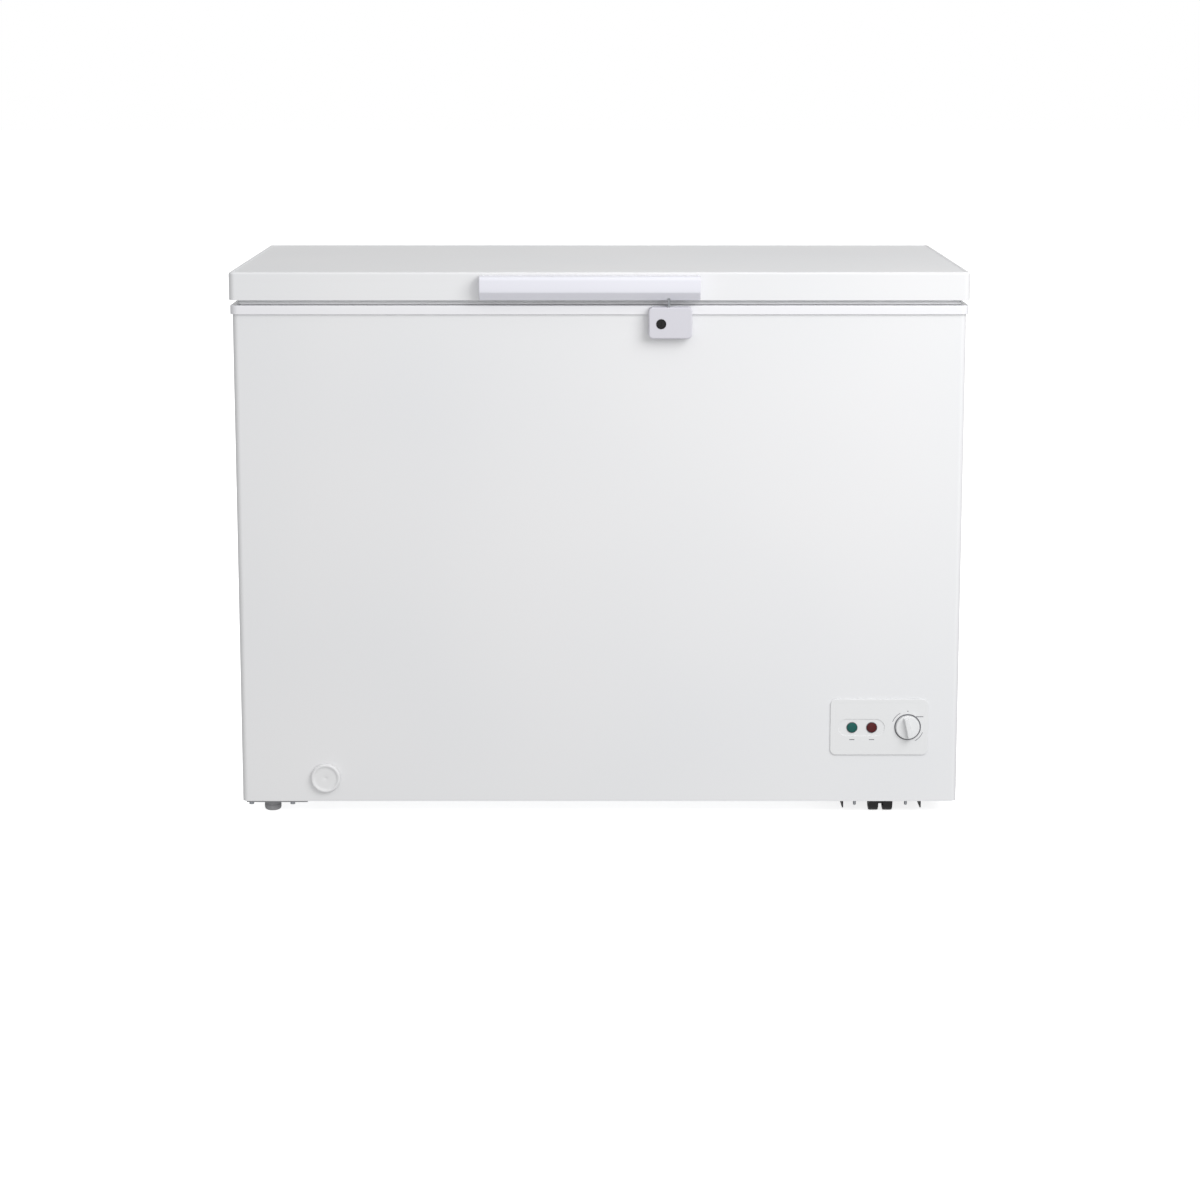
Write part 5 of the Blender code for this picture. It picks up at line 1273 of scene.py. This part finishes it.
class FREEZER_OT_basket(bpy.types.Operator):
    """Dipped wire basket that hangs across the tub by two hooks"""

    bl_idname = "freezer.basket"
    bl_label = "Wire basket"

    def execute(self, context):
        sizes = context.scene.freezer_fittings
        low_x, high_x = BASKET_LOW.x, BASKET_HIGH.x
        side = BODY_HIGH.y - WALL - 8 * MM
        top = BASKET_HIGH.z - 22.8 * MM
        floor, taper = BASKET_LOW.z, 12 * MM
        wires = []
        for radius, inset, z in (
            (sizes.rim_wire, 0.0, top - sizes.rim_wire),
            (sizes.wire, taper * 0.5, (top + floor) / 2),
            (sizes.rim_wire * 0.7, taper - MM, floor + 9 * MM),
        ):
            edge = inset + radius
            outline = rounded((low_x + edge, -side + edge), (high_x - edge, side - edge), 22 * MM - inset / 2)
            wires.append(wire([(x, y, z) for x, y in outline], radius, closed=True))
        up, down, lean = top - sizes.rim_wire, floor + sizes.wire, taper - MM
        middle = (low_x + high_x) / 2
        corner = 34 * MM
        # Ribs along X set out over Y, then ribs along Y set out over X, which lie on the first ones
        for over, first, last, low, centre, reach in (
            (1, low_x, high_x, down, 0.0, side - corner),
            (0, -side, side, down + 2 * sizes.wire, middle, (high_x - low_x) / 2 - corner),
        ):
            first, last = first + 2 * sizes.rim_wire, last - 2 * sizes.rim_wire
            line = [(first, up), (first + lean, low), (last - lean, low), (last, up)]
            rib = wire(eased([raised(pair, over, 0.0) for pair in line], 9 * MM), sizes.wire)
            count = round(2 * reach / sizes.pitch)
            places = [centre - reach + 2 * reach * i / count for i in range(count + 1)]
            wires += repeated(rib, [raised((0.0, 0.0), over, place) for place in places])
        rest = RIM_HIGH.z + 0.3 * MM + sizes.wire
        for sign in (-1, 1):
            near, far = sign * (side - 1.5 * MM), sign * (BASKET_HIGH.y - sizes.wire)
            left, right = middle - 58.5 * MM, middle + 58.5 * MM
            path = [(left, near, up - 8 * MM), (left, near, rest), (left, far, rest)]
            path += [(right, far, rest), (right, near, rest), (right, near, up - 8 * MM)]
            wires.append(wire(eased(path, 4 * MM), sizes.wire))
        settle(joined(wires), "wire_basket_frame", "wire_basket", "dipped_wire", ["basket"], 60)
        return {"FINISHED"}


# ---- back and carried pieces -----------------------------------------------------------------


def screw(radius):
    """Pan-head screw at the origin, facing backwards, with a cross recess."""
    dome = [(0.0, 0.62), (0.35, 0.60), (0.62, 0.52), (0.84, 0.36), (0.97, 0.14), (1.0, -0.05), (0.0, -0.05)]
    head = turned([(r * radius, p * radius) for r, p in dome], 2, (0.0, 0.0, 0.0), 24)
    arm, half = radius * 0.5, radius * 0.11
    carve(head, brick((-arm, -half, radius * 0.3), (arm, half, radius)))
    carve(head, brick((-half, -arm, radius * 0.3), (half, arm, radius)))
    head.data.transform(Matrix.Rotation(-math.pi / 2, 4, "X"))
    return head


class FREEZER_OT_hinges(bpy.types.Operator):
    """Both sprung hinges and the screws that hold them"""

    bl_idname = "freezer.hinges"
    bl_label = "Hinges"

    def execute(self, context):
        head = screw(context.scene.freezer_fittings.screw)
        base_screws, arm_screws = [], []
        for side in ("left", "right"):
            for node, body, finish, width in (
                ("hinge_base", "cabinet", "grey_powder_coat", 0.5),
                ("hinge_arm", "lid", "grey_powder_coat", 0.4),
                ("hinge_pin", "cabinet", "zinc_plated_steel", 0.3),
                ("hinge_spring", "cabinet", "spring_wire_steel", 0.0),
            ):
                kept(f"{node}_{side}", f"{side}_{node}", body, finish, width, 45)
            low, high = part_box(f"hinge_base_{side}")
            for x in (low.x + 12 * MM, high.x - 12 * MM):
                base_screws.append(copied(head, (x, low.y + 2 * MM, low.z + 12 * MM)))
            low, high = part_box(f"hinge_arm_{side}")
            for x in (low.x + 5 * MM, high.x - 5 * MM):
                arm_screws.append(copied(head, (x, low.y + 2 * MM, high.z - 12 * MM)))
        bpy.data.objects.remove(head, do_unlink=True)
        settle(joined(base_screws), "hinge_base_screws", "cabinet", "zinc_plated_steel")
        settle(joined(arm_screws), "hinge_arm_screws", "lid", "zinc_plated_steel")
        return {"FINISHED"}


class FREEZER_OT_covers(bpy.types.Operator):
    """Slotted end grille and rear cover with its bush and screws"""

    bl_idname = "freezer.covers"
    bl_label = "Covers"

    def execute(self, context):
        kept("side_grille", "end_grille", "cabinet", "grey_polypropylene", 0.25)
        kept("rear_cover", "compartment_cover", "cabinet", "grey_powder_coat", 0.25)
        low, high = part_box("cable_gland")
        centre = (low + high) / 2
        profile = [(3.5, low.y / MM), (6.0, low.y / MM), (6.0, 269.6)]
        profile += [(8.4, 269.6), (9.0, 270.2), (9.0, 271.9)]
        profile += [(8.4, 272.5), (7.0, 273.0), (6.4, 275.6), (6.0, 278.8)]
        profile += [(5.4, 279.6), (4.2, 279.6), (3.5, 278.8)]
        bush = turned([(r * MM, p * MM) for r, p in profile], 1, (centre.x, 0.0, centre.z), 40)
        settle(bush, "lead_bush", "cabinet", "black_nylon", ["cable_gland"])
        head = screw(context.scene.freezer_fittings.screw)
        inset = 4.2 * MM
        xs = (COVER_LOW.x + inset, (COVER_LOW.x + COVER_HIGH.x) / 2, COVER_HIGH.x - inset)
        zs = (COVER_LOW.z + inset, COVER_HIGH.z - inset)
        group = repeated(head, [(x, COVER_HIGH.y, z) for x in xs for z in zs])
        settle(joined(group), "cover_screws", "cabinet", "zinc_plated_steel")
        return {"FINISHED"}


class FREEZER_OT_lock_steel(bpy.types.Operator):
    """The lid's strike and the barrel's cam"""

    bl_idname = "freezer.lock_steel"
    bl_label = "Lock steel"

    def execute(self, context):
        kept("lock_strike", "strike_plate", "lid", "zinc_plated_steel", 0.25)
        kept("lock_cam", "barrel_cam", "lock_barrel", "zinc_plated_steel", 0.25)
        return {"FINISHED"}


INNER = {
    "galvanised_sheet": ("base_plate", "step_plate", "compressor_bracket"),
    "poured_foam": ("cabinet_foam", "lid_foam"),
    "drawn_copper_tube": (
        "condenser_coil",
        "evaporator_coil",
        "suction_line",
        "discharge_line",
        "filter_drier",
    ),
    "black_powder_coat": ("compressor",),
    "moulded_rubber": tuple(f"compressor_mount_{i}" for i in (1, 2, 3, 4)),
    "black_nylon": ("starter_relay",),
    "grey_polypropylene": ("drain_pipe", "control_box"),
    "zinc_plated_steel": ("thermostat",),
}


class FREEZER_OT_carried(bpy.types.Operator):
    """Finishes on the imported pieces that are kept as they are, under and inside the cabinet and lid"""

    bl_idname = "freezer.carried"
    bl_label = "Inner pieces"

    def execute(self, context):
        for finish, nodes in INNER.items():
            for node in nodes:
                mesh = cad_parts[node].data
                mesh.materials.clear()
                mesh.materials.append(bpy.data.materials[finish])
        return {"FINISHED"}


OPERATORS = (
    FREEZER_OT_camera,
    FREEZER_OT_stage,
    FREEZER_OT_finishes,
    FREEZER_OT_cabinet_sheet,
    FREEZER_OT_back_sheet,
    FREEZER_OT_top_surround,
    FREEZER_OT_tub,
    FREEZER_OT_lock_case,
    FREEZER_OT_key_barrel,
    FREEZER_OT_lock_steel,
    FREEZER_OT_dial_panel,
    FREEZER_OT_lamps,
    FREEZER_OT_dial_knob,
    FREEZER_OT_drain_stopper,
    FREEZER_OT_tub_stopper,
    FREEZER_OT_lid_pan,
    FREEZER_OT_lid_lining,
    FREEZER_OT_lid_seal,
    FREEZER_OT_lid_grip,
    FREEZER_OT_levelling_feet,
    FREEZER_OT_twin_wheels,
    FREEZER_OT_caster_mounts,
    FREEZER_OT_rails,
    FREEZER_OT_basket,
    FREEZER_OT_hinges,
    FREEZER_OT_covers,
    FREEZER_OT_carried,
)


class FREEZER_PT_build(bpy.types.Panel):
    """Sidebar panel that lists every step"""

    bl_label = "Chest freezer"
    bl_idname = "FREEZER_PT_build"
    bl_space_type = "VIEW_3D"
    bl_region_type = "UI"
    bl_category = "Freezer"

    def draw(self, context):
        for group in ("freezer_camera", "freezer_sheets", "freezer_fittings"):
            sizes = getattr(context.scene, group)
            column = self.layout.column(align=True)
            for name in sizes.__annotations__:
                column.prop(sizes, name)
        for step in OPERATORS:
            self.layout.operator(step.bl_idname)


GROUPS = (FreezerCamera, FreezerSheets, FreezerFittings)
CLASSES = GROUPS + OPERATORS + (FREEZER_PT_build,)


def register():
    """Registers the classes and hangs the settings on the scene."""
    for item in CLASSES:
        bpy.utils.register_class(item)
    bpy.types.Scene.freezer_camera = PointerProperty(type=FreezerCamera)
    bpy.types.Scene.freezer_sheets = PointerProperty(type=FreezerSheets)
    bpy.types.Scene.freezer_fittings = PointerProperty(type=FreezerFittings)


def unregister():
    """Takes the settings and the classes away again."""
    del bpy.types.Scene.freezer_fittings
    del bpy.types.Scene.freezer_sheets
    del bpy.types.Scene.freezer_camera
    for item in reversed(CLASSES):
        bpy.utils.unregister_class(item)


def main():
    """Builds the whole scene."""
    register()
    for step in OPERATORS:
        group, name = step.bl_idname.split(".")
        getattr(getattr(bpy.ops, group), name)()


if __name__ == "__main__":
    main()
